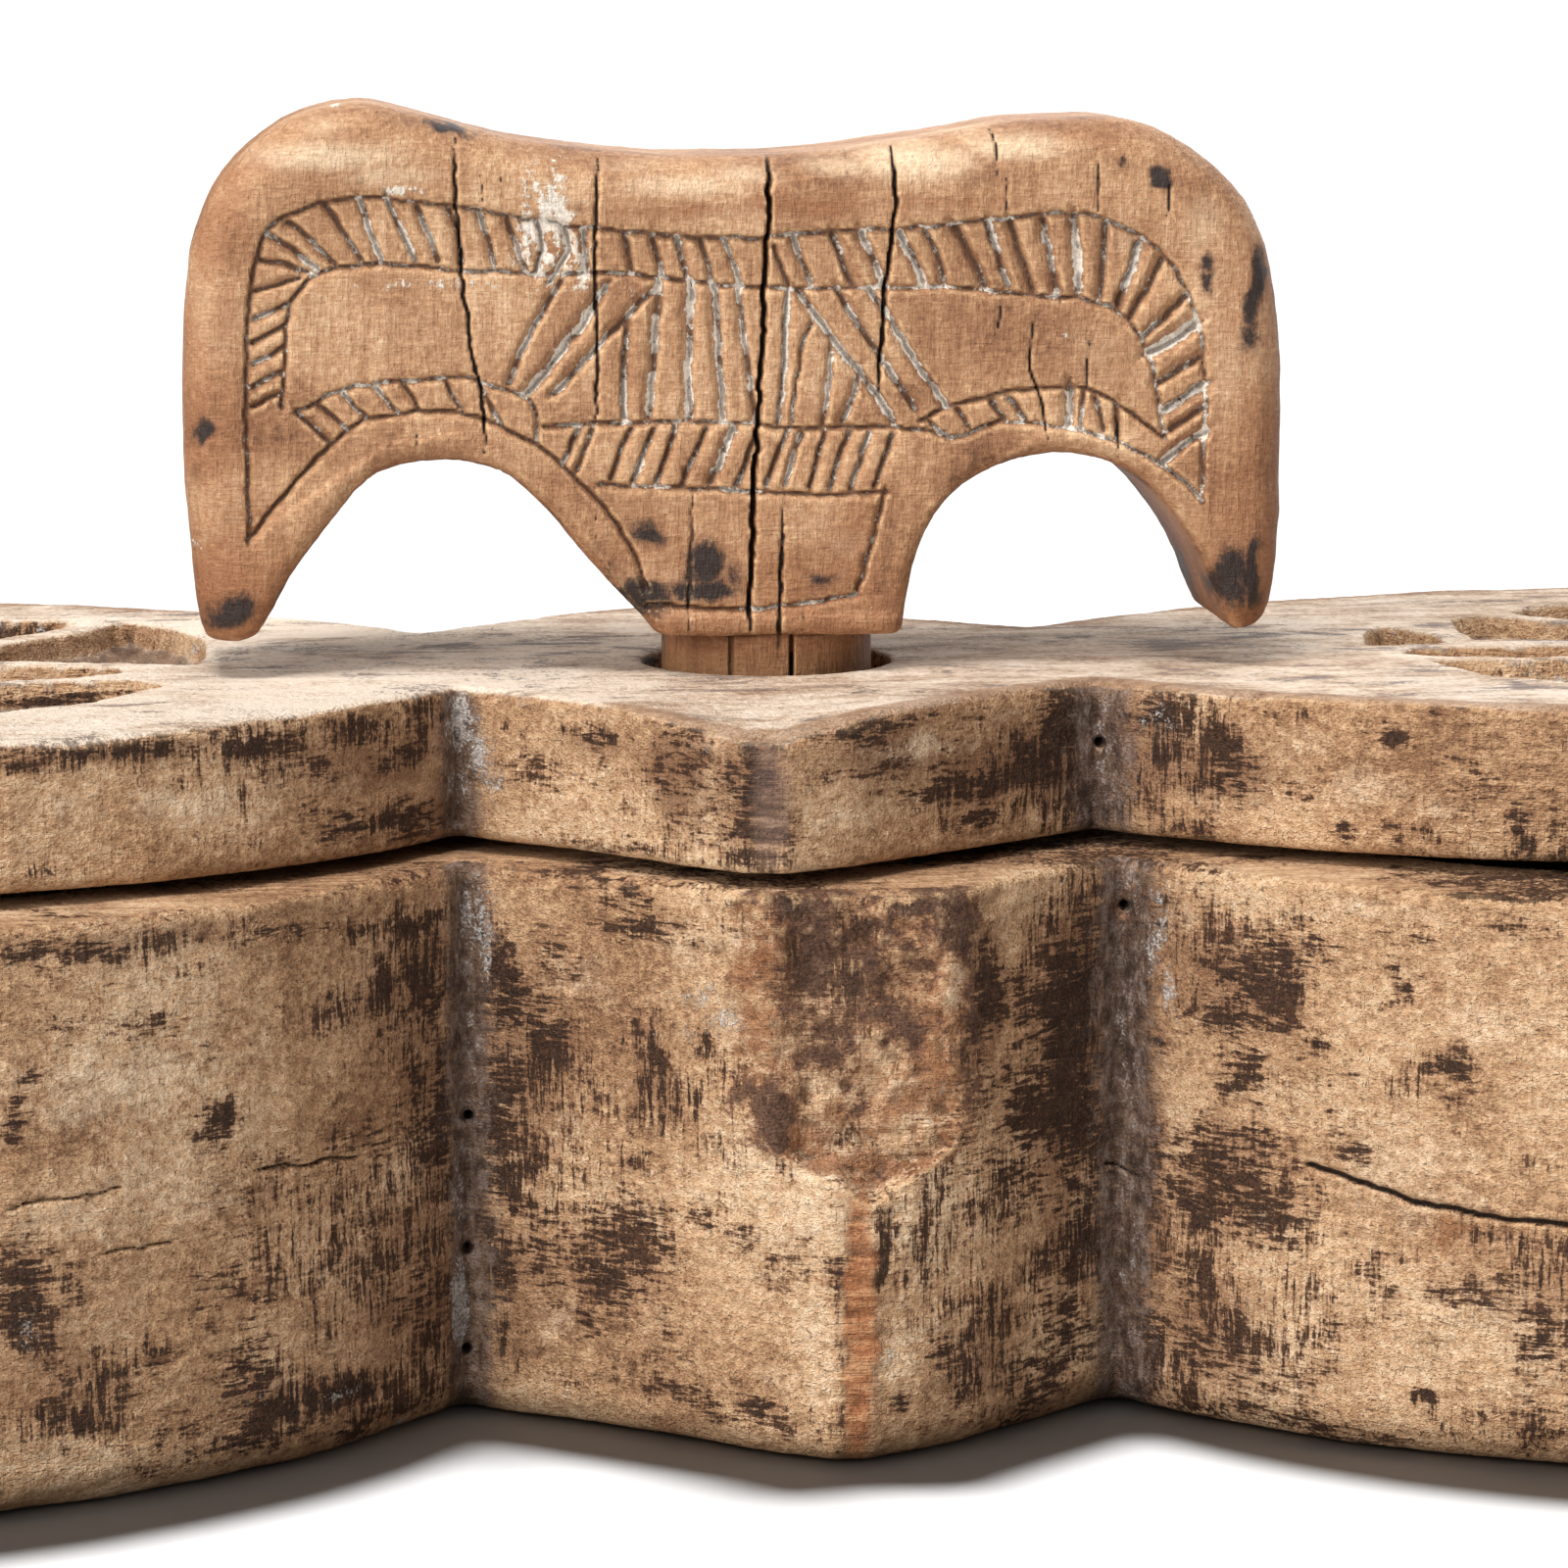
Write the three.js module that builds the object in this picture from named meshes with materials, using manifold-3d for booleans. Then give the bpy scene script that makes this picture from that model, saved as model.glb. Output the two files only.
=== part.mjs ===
// Carved wooden twin-lobed box with a swivel lid and a yoke-shaped carrying handle.
// The handle and its round peg are one piece of wood. The peg passes through a loose hole in the lid and down
// through the solid middle block of the box, where a wooden wedge driven through its foot locks it. The lid
// turns on the peg and is held down by the shoulder of the handle.
// Millimetres, +Z up, X along the two lobes, front at -Y. Origin: centre of the underside, on the peg's axis.
import * as THREE from "three";
import { mergeVertices } from "three/addons/utils/BufferGeometryUtils.js";
import Module from "manifold-3d";

// ---- driving dimensions -------------------------------------------------------------------------
const BODY_H = 80.5; // height of the box without its lid
const FLOOR_T = 16; // wood left under the two compartments
const LID_Z0 = 81.7; // underside of the lid away from its bearing boss
const LID_Z1 = 104.2; // top of the lid
const BOSS_R = 32, BOSS_Z0 = 80.8; // raised ring under the lid that it turns on
const LOBE_CX = 138; // centre of each lobe from the peg's axis
const LOBE_N = 1.7; // superellipse exponent of a lobe: a soft diamond
const BODY_END = 92, LID_END = 84; // lobe centre to outer end
const BODY_HALF = 88; // half width of the box across a lobe
const EDGE_BODY = 3, EDGE_LID = 2.5; // worn edges
const POCKET = { cx: 138, cy: 2, aIn: 72, aOut: 68, b: 64 };
const ROSETTE_DEPTH = 6.5;
const PEG_R = 15.5, PEG_Z0 = 3, BORE_R = 15.8, LID_HOLE_R = 18;
const YOKE_T = 36; // thickness of the handle, front to back
const YOKE_EDGE_IN = 1.8, YOKE_EDGE_BACK = 5;
const SHOULDER_Z = 109.2; // underside of the handle's foot
const WEDGE_HALF_L = 19, WEDGE_HALF_W = 3, WEDGE_TOP = 13.7, WEDGE_H0 = 7.3, WEDGE_H1 = 6.2;
const GROOVE = { halfW: 3.6, y0: -24, y1: 57, top: 14 };
const SLOT = { halfW: 3.35, z0: 6.0, z1: 14.5 };

// ---- outlines -------------------------------------------------------------------------------------
// One side of a lobe, from its outer end on the long axis to the notch beside the middle lobe.
function lobeSide(side, end, b, notch, n = LOBE_N, steps = 9) {
  const p = 2 / n, s = Math.sign(b);
  const reach = Math.abs(Math.abs(notch[0]) - LOBE_CX);
  const aIn = reach / Math.pow(1 - Math.pow(Math.abs(notch[1] / b), n), 1 / n);
  const pts = [];
  for (let i = 0; i <= steps; i++) {
    const t = (i / steps) * Math.PI / 2;
    pts.push([side * (LOBE_CX + end * Math.pow(Math.cos(t), p)), b * Math.pow(Math.sin(t), p)]);
  }
  const tN = Math.asin(Math.pow(Math.abs(notch[1] / b), n / 2));
  for (let i = 1; i < steps; i++) {
    const t = Math.PI / 2 + (tN - Math.PI / 2) * (i / steps);
    pts.push([side * (LOBE_CX - aIn * Math.pow(Math.cos(t), p)), s * Math.abs(b) * Math.pow(Math.sin(t), p)]);
  }
  pts.push(notch);
  return pts;
}
// Counter-clockwise from the left outer end: front of the left lobe, front point, right lobe, back point, left lobe.
function outline(o) {
  const fl = lobeSide(-1, o.end, -o.frontLeft.b, o.frontLeft.notch);
  const fr = lobeSide(1, o.end, -o.frontRight.b, o.frontRight.notch).reverse();
  const br = lobeSide(1, o.end, o.backRight.b, o.backRight.notch);
  const bl = lobeSide(-1, o.end, o.backLeft.b, o.backLeft.notch).reverse();
  const all = [...fl, ...o.frontPoint, ...fr, ...br.slice(1), ...o.backPoint, ...bl];
  return all.slice(0, -1).map(([x, y]) => new THREE.Vector2(x, y));
}
const bodyOutline = outline({
  end: BODY_END,
  frontLeft: { b: BODY_HALF, notch: [-46, -34.3] },
  frontPoint: [[-33, -43.2], [-22, -51.0], [-10, -60.0], [2.5, -67.0], [8.5, -67.3], [15.5, -64.5], [24, -59.3], [34, -50.2]],
  frontRight: { b: BODY_HALF, notch: [46.5, -39.5] },
  backRight: { b: BODY_HALF, notch: [46, 36] },
  backPoint: [[34, 45.4], [23, 53.0], [11, 61.3], [3, 66], [-3, 66], [-11, 61.3], [-23, 53.0], [-34, 45.4]],
  backLeft: { b: BODY_HALF, notch: [-46, 36] },
});
const lidOutline = outline({
  end: LID_END,
  frontLeft: { b: 73, notch: [-46.5, -25] },
  frontPoint: [[-29, -40], [-16, -53], [-9.5, -59.3], [-2.5, -60], [7, -55.5], [26, -41.5]],
  frontRight: { b: 68, notch: [44.5, -28] },
  backRight: { b: 75, notch: [43, 33] },
  backPoint: [[23, 48], [8, 58.5], [-5, 66], [-11, 66], [-22, 59.5], [-36, 48.5]],
  backLeft: { b: 83, notch: [-50, 36] },
});
// The handle's silhouette, X against Z, clockwise from the left foot of its stem.
const YOKE = [
  [-17.1, 109.2], [-21.0, 113.4], [-26.1, 119.0], [-30.5, 124.3], [-35.6, 130.1], [-39.4, 133.2], [-45.5, 134.8],
  [-52.5, 134.4], [-58.4, 132.4], [-64.8, 124.6], [-68.7, 119.3], [-71.3, 114.8], [-73.6, 110.6], [-75.6, 109.0],
  [-81.6, 109.0], [-82.9, 112.4], [-84.2, 123.6], [-84.9, 135.0], [-84.9, 150.8], [-83.9, 162.4], [-82.2, 168.7],
  [-79.6, 174.2], [-76.0, 178.6], [-71.0, 182.4], [-66.0, 184.8], [-60.9, 185.8], [-55.6, 185.5], [-49.0, 183.9],
  [-41.5, 181.6], [-31.5, 179.7], [-20.0, 178.5], [-8.0, 178.0], [3.0, 178.4], [17.0, 179.9], [27.0, 181.7],
  [35.0, 183.0], [43.0, 183.5], [50.3, 183.3], [56.2, 181.6], [62.5, 177.6], [67.7, 172.7], [71.0, 166.7],
  [72.7, 160.0], [73.8, 150.0], [74.2, 138.0], [74.1, 126.0], [73.5, 116.6], [72.4, 111.6], [70.4, 109.0],
  [66.0, 109.0], [64.0, 113.2], [61.8, 119.0], [59.0, 123.8], [56.0, 127.8], [52.1, 131.6], [47.5, 134.0],
  [41.5, 135.0], [35.5, 134.5], [30.7, 132.8], [26.0, 129.6], [22.3, 125.0], [20.2, 120.0], [19.1, 114.7], [18.2, 109.2],
];
// Gouged hollows of the two rosettes, one polygon each; the ribs between them are left standing.
const ROSETTES = [
  // left lobe
  [[-113, 8], [-97, 4.5], [-83, 1.5], [-81.5, 14], [-82.5, 30], [-87, 43], [-93, 51], [-97, 49], [-101, 41], [-110, 30], [-120, 18]],
  [[-101, 53], [-104, 45], [-113, 34], [-124, 23], [-133, 20], [-131, 38], [-124, 54], [-113, 56]],
  [[-94, -1], [-112, 2], [-125, 2.5], [-128, -4], [-122, -9], [-112, -13], [-100, -10], [-93, -6]],
  [[-87.5, -20], [-92, -13.5], [-101, -14], [-112, -17.5], [-122, -14], [-126, -24], [-121, -40], [-110, -43], [-97, -36]],
  [[-137, 20], [-146, 20], [-152, 36], [-153, 54], [-140, 59], [-129, 56], [-134, 38]],
  [[-150, 18], [-156, 12], [-176, 14], [-190, 24], [-184, 40], [-172, 50], [-158, 53], [-156, 36]],
  [[-156, 7], [-158, -2], [-175, -8], [-194, -8], [-199, 4], [-195, 19], [-178, 9]],
  [[-157, -7], [-150, -14], [-155, -32], [-165, -46], [-179, -43], [-189, -30], [-192, -13], [-174, -13]],
  [[-145, -17], [-136, -18], [-130, -24], [-126, -42], [-135, -50], [-148, -51], [-160, -47], [-150, -32]],
  // right lobe
  [[90.5, 6], [104, 8.5], [104, 16], [100, 25], [97, 29], [92.5, 20]],
  [[108, 11], [124, 9.5], [131, 16], [126, 30], [116, 39], [110, 36], [108, 24]],
  [[96, 1.5], [112, 3], [126, 2], [127, -6], [114, -9.5], [101, -7.5], [93.5, -3]],
  [[96, -12], [110, -13], [125, -10.5], [129, -22], [124, -36], [112, -37], [101, -28]],
  [[134, 19], [143, 19], [150, 33], [152, 46], [140, 52], [125, 50], [121, 41], [130, 32]],
  [[148, 16], [155, 11], [174, 12], [188, 20], [183, 34], [170, 45], [157, 47], [154, 32]],
  [[156, 6], [157, -3], [174, -9], [192, -10], [197, 2], [194, 15], [176, 7]],
  [[155, -8], [149, -14], [152, -30], [162, -43], [176, -42], [187, -31], [190, -15], [172, -13]],
  [[143, -17], [135, -17], [130, -40], [137, -46], [148, -48], [157, -45], [148, -30]],
];

// ---- solids ---------------------------------------------------------------------------------------
const wasm = await Module();
wasm.setup();
function toSolid(geometry) {
  const g = geometry.index ? geometry.toNonIndexed() : geometry.clone();
  for (const name of Object.keys(g.attributes)) if (name !== "position") g.deleteAttribute(name);
  const m = mergeVertices(g, 1e-4);
  return new wasm.Manifold(
    new wasm.Mesh({ numProp: 3, vertProperties: new Float32Array(m.attributes.position.array), triVerts: new Uint32Array(m.index.array) }),
  );
}
function toGeometry(solid) {
  const m = solid.getMesh();
  const g = new THREE.BufferGeometry();
  g.setAttribute("position", new THREE.BufferAttribute(new Float32Array(m.vertProperties), 3));
  g.setIndex(new THREE.BufferAttribute(new Uint32Array(m.triVerts), 1));
  g.computeVertexNormals();
  return g;
}
// A flat outline raised from z0 to z1, its top and bottom edges eased by `edge`.
function slab(points, z0, z1, edge = 0, segments = 2) {
  const g = new THREE.ExtrudeGeometry(new THREE.Shape(points), {
    depth: z1 - z0 - 2 * edge,
    bevelEnabled: edge > 0,
    bevelThickness: edge,
    bevelSize: edge,
    bevelOffset: -edge,
    bevelSegments: segments,
  });
  g.translate(0, 0, z0 + edge);
  return toSolid(g);
}
function rod(r, z0, z1, sides = 40) {
  const g = new THREE.CylinderGeometry(r, r, z1 - z0, sides);
  g.rotateX(Math.PI / 2);
  g.translate(0, 0, (z0 + z1) / 2);
  return toSolid(g);
}
function block(x0, x1, y0, y1, z0, z1) {
  const g = new THREE.BoxGeometry(x1 - x0, y1 - y0, z1 - z0);
  g.translate((x0 + x1) / 2, (y0 + y1) / 2, (z0 + z1) / 2);
  return toSolid(g);
}

// Box: one block of wood with two round-cornered compartments, the peg's bore and the wedge's groove.
function pocketOutline(side) {
  const pts = [];
  for (let i = 0; i < 32; i++) {
    const t = (i / 32) * 2 * Math.PI;
    const c = Math.cos(t), a = c < 0 ? POCKET.aIn : POCKET.aOut;
    pts.push(new THREE.Vector2(side * (POCKET.cx + a * c), POCKET.cy + POCKET.b * Math.sin(t) * side));
  }
  return pts;
}
let box = slab(bodyOutline, 0, BODY_H, EDGE_BODY);
for (const side of [-1, 1]) box = box.subtract(slab(pocketOutline(side), FLOOR_T, BODY_H + 5));
box = box.subtract(rod(BORE_R, -1, BODY_H + 1));
box = box.subtract(block(-GROOVE.halfW, GROOVE.halfW, GROOVE.y0, GROOVE.y1, -1, GROOVE.top));

// Lid: one slab with a loose hole for the peg, a bearing ring under it and the gouged rosettes on top.
let lid = slab(lidOutline, LID_Z0, LID_Z1, EDGE_LID);
lid = lid.add(rod(BOSS_R, BOSS_Z0, LID_Z0 + 6, 48));
lid = lid.subtract(rod(LID_HOLE_R, BOSS_Z0 - 1, LID_Z1 + 1));
for (const hollow of ROSETTES) {
  const area = THREE.ShapeUtils.area(hollow.map(([x, y]) => new THREE.Vector2(x, y)));
  const ring = (area < 0 ? [...hollow].reverse() : hollow).map(([x, y]) => new THREE.Vector2(x, y));
  lid = lid.subtract(slab(ring, LID_Z1 - ROSETTE_DEPTH, LID_Z1 + 2));
}

// Handle: the yoke board and its peg, one piece, with the wedge's slot through the foot of the peg.
const yokeShape = new THREE.Shape(YOKE.map(([x, z]) => new THREE.Vector2(x, z)));
const yokeBoard = new THREE.ExtrudeGeometry(yokeShape, {
  depth: YOKE_T - 2 * YOKE_EDGE_BACK,
  bevelEnabled: true,
  bevelThickness: YOKE_EDGE_BACK,
  bevelSize: YOKE_EDGE_IN,
  bevelOffset: -YOKE_EDGE_IN,
  bevelSegments: 2,
});
yokeBoard.translate(0, 0, -(YOKE_T - 2 * YOKE_EDGE_BACK) / 2);
yokeBoard.rotateX(Math.PI / 2);
let yoke = toSolid(yokeBoard).add(rod(PEG_R, PEG_Z0, SHOULDER_Z + 3));
yoke = yoke.subtract(block(-SLOT.halfW, SLOT.halfW, -30, 30, SLOT.z0, SLOT.z1));

// Wedge: a tapered key, flat on top against the box, sloping underneath against the slot in the peg.
const wedgeSide = new THREE.Shape([
  new THREE.Vector2(-WEDGE_HALF_L, WEDGE_TOP - WEDGE_H0),
  new THREE.Vector2(WEDGE_HALF_L, WEDGE_TOP - WEDGE_H1),
  new THREE.Vector2(WEDGE_HALF_L, WEDGE_TOP),
  new THREE.Vector2(-WEDGE_HALF_L, WEDGE_TOP),
]);
const wedge = new THREE.ExtrudeGeometry(wedgeSide, { depth: 2 * WEDGE_HALF_W - 1, bevelEnabled: true, bevelThickness: 0.5, bevelSize: 0.5, bevelOffset: -0.5, bevelSegments: 1 });
wedge.translate(0, 0, -(2 * WEDGE_HALF_W - 1) / 2);
wedge.rotateY(Math.PI / 2);
wedge.rotateX(Math.PI / 2);

// ---- scene graph ----------------------------------------------------------------------------------
const root = new THREE.Group();
root.name = "yoke_handled_box";
function piece(name, geometry, color, roughness) {
  const mesh = new THREE.Mesh(geometry, new THREE.MeshStandardMaterial({ color, roughness, metalness: 0 }));
  mesh.name = name;
  root.add(mesh);
  return mesh;
}
piece("box_body", toGeometry(box), 0x9a7350, 0.8);
piece("swivel_lid", toGeometry(lid), 0xa5805c, 0.75);
piece("yoke_handle", toGeometry(yoke), 0xa87848, 0.6);
piece("locking_wedge", wedge, 0x6f4c30, 0.75);

export default root;
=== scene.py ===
import bpy
import math
import numpy as np
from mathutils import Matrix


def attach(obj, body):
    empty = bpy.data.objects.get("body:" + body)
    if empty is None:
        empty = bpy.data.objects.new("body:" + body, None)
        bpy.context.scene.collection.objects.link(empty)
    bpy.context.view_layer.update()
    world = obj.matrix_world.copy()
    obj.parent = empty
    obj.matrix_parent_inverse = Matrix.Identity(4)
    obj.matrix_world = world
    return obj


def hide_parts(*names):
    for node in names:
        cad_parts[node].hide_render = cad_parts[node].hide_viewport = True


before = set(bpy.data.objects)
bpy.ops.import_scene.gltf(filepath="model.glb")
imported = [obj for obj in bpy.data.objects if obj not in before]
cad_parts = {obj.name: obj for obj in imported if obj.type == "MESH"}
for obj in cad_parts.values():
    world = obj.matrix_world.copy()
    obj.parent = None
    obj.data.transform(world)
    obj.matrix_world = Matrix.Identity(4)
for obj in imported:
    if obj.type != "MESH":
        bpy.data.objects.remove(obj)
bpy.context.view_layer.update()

# ---- noise ----------------------------------------------------------------------------------------


def _rnd(ix, iy, iz, seed):
    h = ix.astype(np.uint32) * np.uint32(0x8DA6B343)
    h = h ^ (iy.astype(np.uint32) * np.uint32(0xD8163841))
    h = h ^ (iz.astype(np.uint32) * np.uint32(0xCB1AB31F))
    h = h ^ np.uint32((seed * 0x9E3779B1 + 12345) & 0xFFFFFFFF)
    h = h ^ (h >> np.uint32(16))
    h = h * np.uint32(0x7FEB352D)
    h = h ^ (h >> np.uint32(15))
    h = h * np.uint32(0x846CA68B)
    h = h ^ (h >> np.uint32(16))
    return h.astype(np.float32) * np.float32(2.0 / 4294967295.0) - np.float32(1.0)


def noise(x, y, z, seed=0):
    """Smooth value noise, -1 to 1, one cell per unit."""
    x, y, z = np.broadcast_arrays(np.asarray(x, np.float32), np.asarray(y, np.float32), np.asarray(z, np.float32))
    fx, fy, fz = np.floor(x), np.floor(y), np.floor(z)
    tx, ty, tz = x - fx, y - fy, z - fz
    tx, ty, tz = (t * t * t * (t * (t * 6 - 15) + 10) for t in (tx, ty, tz))
    ix, iy, iz = fx.astype(np.int64), fy.astype(np.int64), fz.astype(np.int64)
    out = 0
    for dz in (0, 1):
        wz = tz if dz else 1 - tz
        for dy in (0, 1):
            wy = ty if dy else 1 - ty
            a = _rnd(ix, iy + dy, iz + dz, seed)
            b = _rnd(ix + 1, iy + dy, iz + dz, seed)
            out = out + wz * wy * (a + (b - a) * tx)
    return out


def fbm(x, y, z, octaves=3, seed=0, gain=0.5):
    out, amp, tot, f = 0, 1.0, 0.0, 1.0
    for o in range(octaves):
        out = out + amp * noise(x * f, y * f, z * f, seed + 17 * o)
        tot += amp
        amp *= gain
        f *= 2.03
    return out / tot


def step(a, b, t):
    t = np.clip((t - a) / (b - a), 0, 1)
    return t * t * (3 - 2 * t)


def bell(x, z, cx, cz, rx, rz, rot=0.0):
    """1 at the centre of a soft ellipse, 0.5 about its rim, 0 well outside."""
    c, s = math.cos(math.radians(rot)), math.sin(math.radians(rot))
    u, v = (x - cx) * c + (z - cz) * s, -(x - cx) * s + (z - cz) * c
    r2 = (u / rx) ** 2 + (v / rz) ** 2
    return np.exp(-0.69 * r2)


# ---- distances ------------------------------------------------------------------------------------


def seg_dist2(px, py, a, b):
    ex, ey = b[0] - a[0], b[1] - a[1]
    wx, wy = px - a[0], py - a[1]
    t = np.clip((wx * ex + wy * ey) / max(ex * ex + ey * ey, 1e-9), 0, 1)
    return (wx - ex * t) ** 2 + (wy - ey * t) ** 2


def line_dist(px, py, pts):
    d = np.full(np.broadcast(px, py).shape, 1e9, np.float32)
    for a, b in zip(pts[:-1], pts[1:]):
        d = np.minimum(d, seg_dist2(px, py, a, b))
    return np.sqrt(d)


def poly_sdf(px, py, poly):
    """Signed distance to a closed polygon, negative inside."""
    px, py = np.broadcast_arrays(px, py)
    d = np.full(px.shape, 1e9, np.float32)
    odd = np.zeros(px.shape, bool)
    n = len(poly)
    for i in range(n):
        a, b = poly[i], poly[(i + 1) % n]
        d = np.minimum(d, seg_dist2(px, py, a, b))
        if a[1] != b[1]:
            cross = ((a[1] > py) != (b[1] > py)) & (px < (b[0] - a[0]) * (py - a[1]) / (b[1] - a[1]) + a[0])
            odd ^= cross
    d = np.sqrt(d)
    return np.where(odd, -d, d)


def meet(a, b, r):
    """Intersection of two fields with its edge rounded by r."""
    u, v = a + r, b + r
    return np.minimum(np.maximum(u, v), 0) + np.sqrt(np.maximum(u, 0) ** 2 + np.maximum(v, 0) ** 2) - r


def chaikin(pts, rounds=2):
    pts = [tuple(p) for p in pts]
    for _ in range(rounds):
        out = [pts[0]]
        for a, b in zip(pts[:-1], pts[1:]):
            out.append((a[0] * 0.75 + b[0] * 0.25, a[1] * 0.75 + b[1] * 0.25))
            out.append((a[0] * 0.25 + b[0] * 0.75, a[1] * 0.25 + b[1] * 0.75))
        out.append(pts[-1])
        pts = out
    return pts


# ---- surface from a field --------------------------------------------------------------------------


def axis(*spans):
    """Grid coordinates from (start, end, step) spans that join up."""
    out = [np.array([spans[0][0]], np.float64)]
    for a, b, s in spans:
        n = max(1, int(round((b - a) / s)))
        out.append(np.linspace(a, b, n + 1)[1:])
    return np.concatenate(out).astype(np.float32)


def nets(F, X, Y, Z):
    """Quads of the zero surface of F on a rectilinear grid, negative inside, normals outwards."""
    nx, ny, nz = F.shape
    ins = F < 0
    cnt = np.zeros((nx - 1, ny - 1, nz - 1), np.int8)
    for a in (0, 1):
        for b in (0, 1):
            for c in (0, 1):
                cnt += ins[a : nx - 1 + a, b : ny - 1 + b, c : nz - 1 + c]
    act = (cnt > 0) & (cnt < 8)
    ci, cj, ck = np.nonzero(act)
    index = np.full(act.shape, -1, np.int32)
    index[ci, cj, ck] = np.arange(len(ci), dtype=np.int32)
    f, pos = {}, {}
    for a in (0, 1):
        for b in (0, 1):
            for c in (0, 1):
                f[a, b, c] = F[ci + a, cj + b, ck + c]
                pos[a, b, c] = np.stack([X[ci + a], Y[cj + b], Z[ck + c]], 1)
    acc = np.zeros((len(ci), 3), np.float32)
    num = np.zeros(len(ci), np.float32)
    keys = list(f)
    for p in keys:
        for q in keys:
            if p < q and sum(abs(i - j) for i, j in zip(p, q)) == 1:
                fa, fb = f[p], f[q]
                m = (fa < 0) != (fb < 0)
                t = np.where(m, fa / np.where(m, fa - fb, 1), 0)
                acc += np.where(m, 1, 0)[:, None] * (pos[p] + (pos[q] - pos[p]) * t[:, None])
                num += m
    V = acc / num[:, None]
    quads = []

    def emit(change, first_in, cells):
        i, j, k = np.nonzero(change)
        q = np.stack([index[c(i, j, k)] for c in cells], 1)
        flip = ~first_in[i, j, k]
        q[flip] = q[flip][:, ::-1]
        quads.append(q)

    a, b = ins[:-1, 1:-1, 1:-1], ins[1:, 1:-1, 1:-1]
    emit(a != b, a, [lambda i, j, k: (i, j, k), lambda i, j, k: (i, j + 1, k), lambda i, j, k: (i, j + 1, k + 1), lambda i, j, k: (i, j, k + 1)])
    a, b = ins[1:-1, :-1, 1:-1], ins[1:-1, 1:, 1:-1]
    emit(a != b, a, [lambda i, j, k: (i, j, k), lambda i, j, k: (i, j, k + 1), lambda i, j, k: (i + 1, j, k + 1), lambda i, j, k: (i + 1, j, k)])
    a, b = ins[1:-1, 1:-1, :-1], ins[1:-1, 1:-1, 1:]
    emit(a != b, a, [lambda i, j, k: (i, j, k), lambda i, j, k: (i + 1, j, k), lambda i, j, k: (i + 1, j + 1, k), lambda i, j, k: (i, j + 1, k)])
    return V, np.concatenate(quads)


def normals(V, Q):
    n = np.cross(V[Q[:, 2]] - V[Q[:, 0]], V[Q[:, 3]] - V[Q[:, 1]])
    N = np.zeros_like(V)
    for c in range(4):
        for k in range(3):
            N[:, k] += np.bincount(Q[:, c], weights=n[:, k], minlength=len(V)).astype(np.float32)
    return N / np.maximum(np.linalg.norm(N, axis=1, keepdims=True), 1e-9)


def mesh_object(name, V, Q, attrs, material):
    me = bpy.data.meshes.new(name)
    me.vertices.add(len(V))
    me.vertices.foreach_set("co", (V.astype(np.float64) / 1000).astype(np.float32).ravel())
    me.loops.add(Q.size)
    me.loops.foreach_set("vertex_index", Q.astype(np.int32).ravel())
    me.polygons.add(len(Q))
    me.polygons.foreach_set("loop_start", np.arange(len(Q), dtype=np.int32) * 4)
    me.update(calc_edges=True)
    me.validate()
    me.polygons.foreach_set("use_smooth", np.ones(len(me.polygons), bool))
    for key, val in attrs.items():
        at = me.attributes.new(key, "FLOAT", "POINT")
        at.data.foreach_set("value", np.clip(val, 0, 1).astype(np.float32))
    ob = bpy.data.objects.new(name, me)
    bpy.context.scene.collection.objects.link(ob)
    me.materials.append(material)
    return ob


def thin_out(ob, weight, ratio):
    """Fewer faces where weight is 1, such as flat hidden sides, with the rest left as it is."""
    g = ob.vertex_groups.new(name="coarse")
    for w in (1.0,):
        g.add(np.flatnonzero(weight > 0.5).tolist(), w, "REPLACE")
    m = ob.modifiers.new("thin", "DECIMATE")
    m.decimate_type = "COLLAPSE"
    m.ratio = ratio
    m.vertex_group = "coarse"
    m.vertex_group_factor = 10.0
    dg = bpy.context.evaluated_depsgraph_get()
    me = bpy.data.meshes.new_from_object(ob.evaluated_get(dg), preserve_all_data_layers=True, depsgraph=dg)
    old = ob.data
    ob.modifiers.clear()
    ob.data = me
    ob.vertex_groups.clear()
    bpy.data.meshes.remove(old)
    me.name = ob.name

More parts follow.
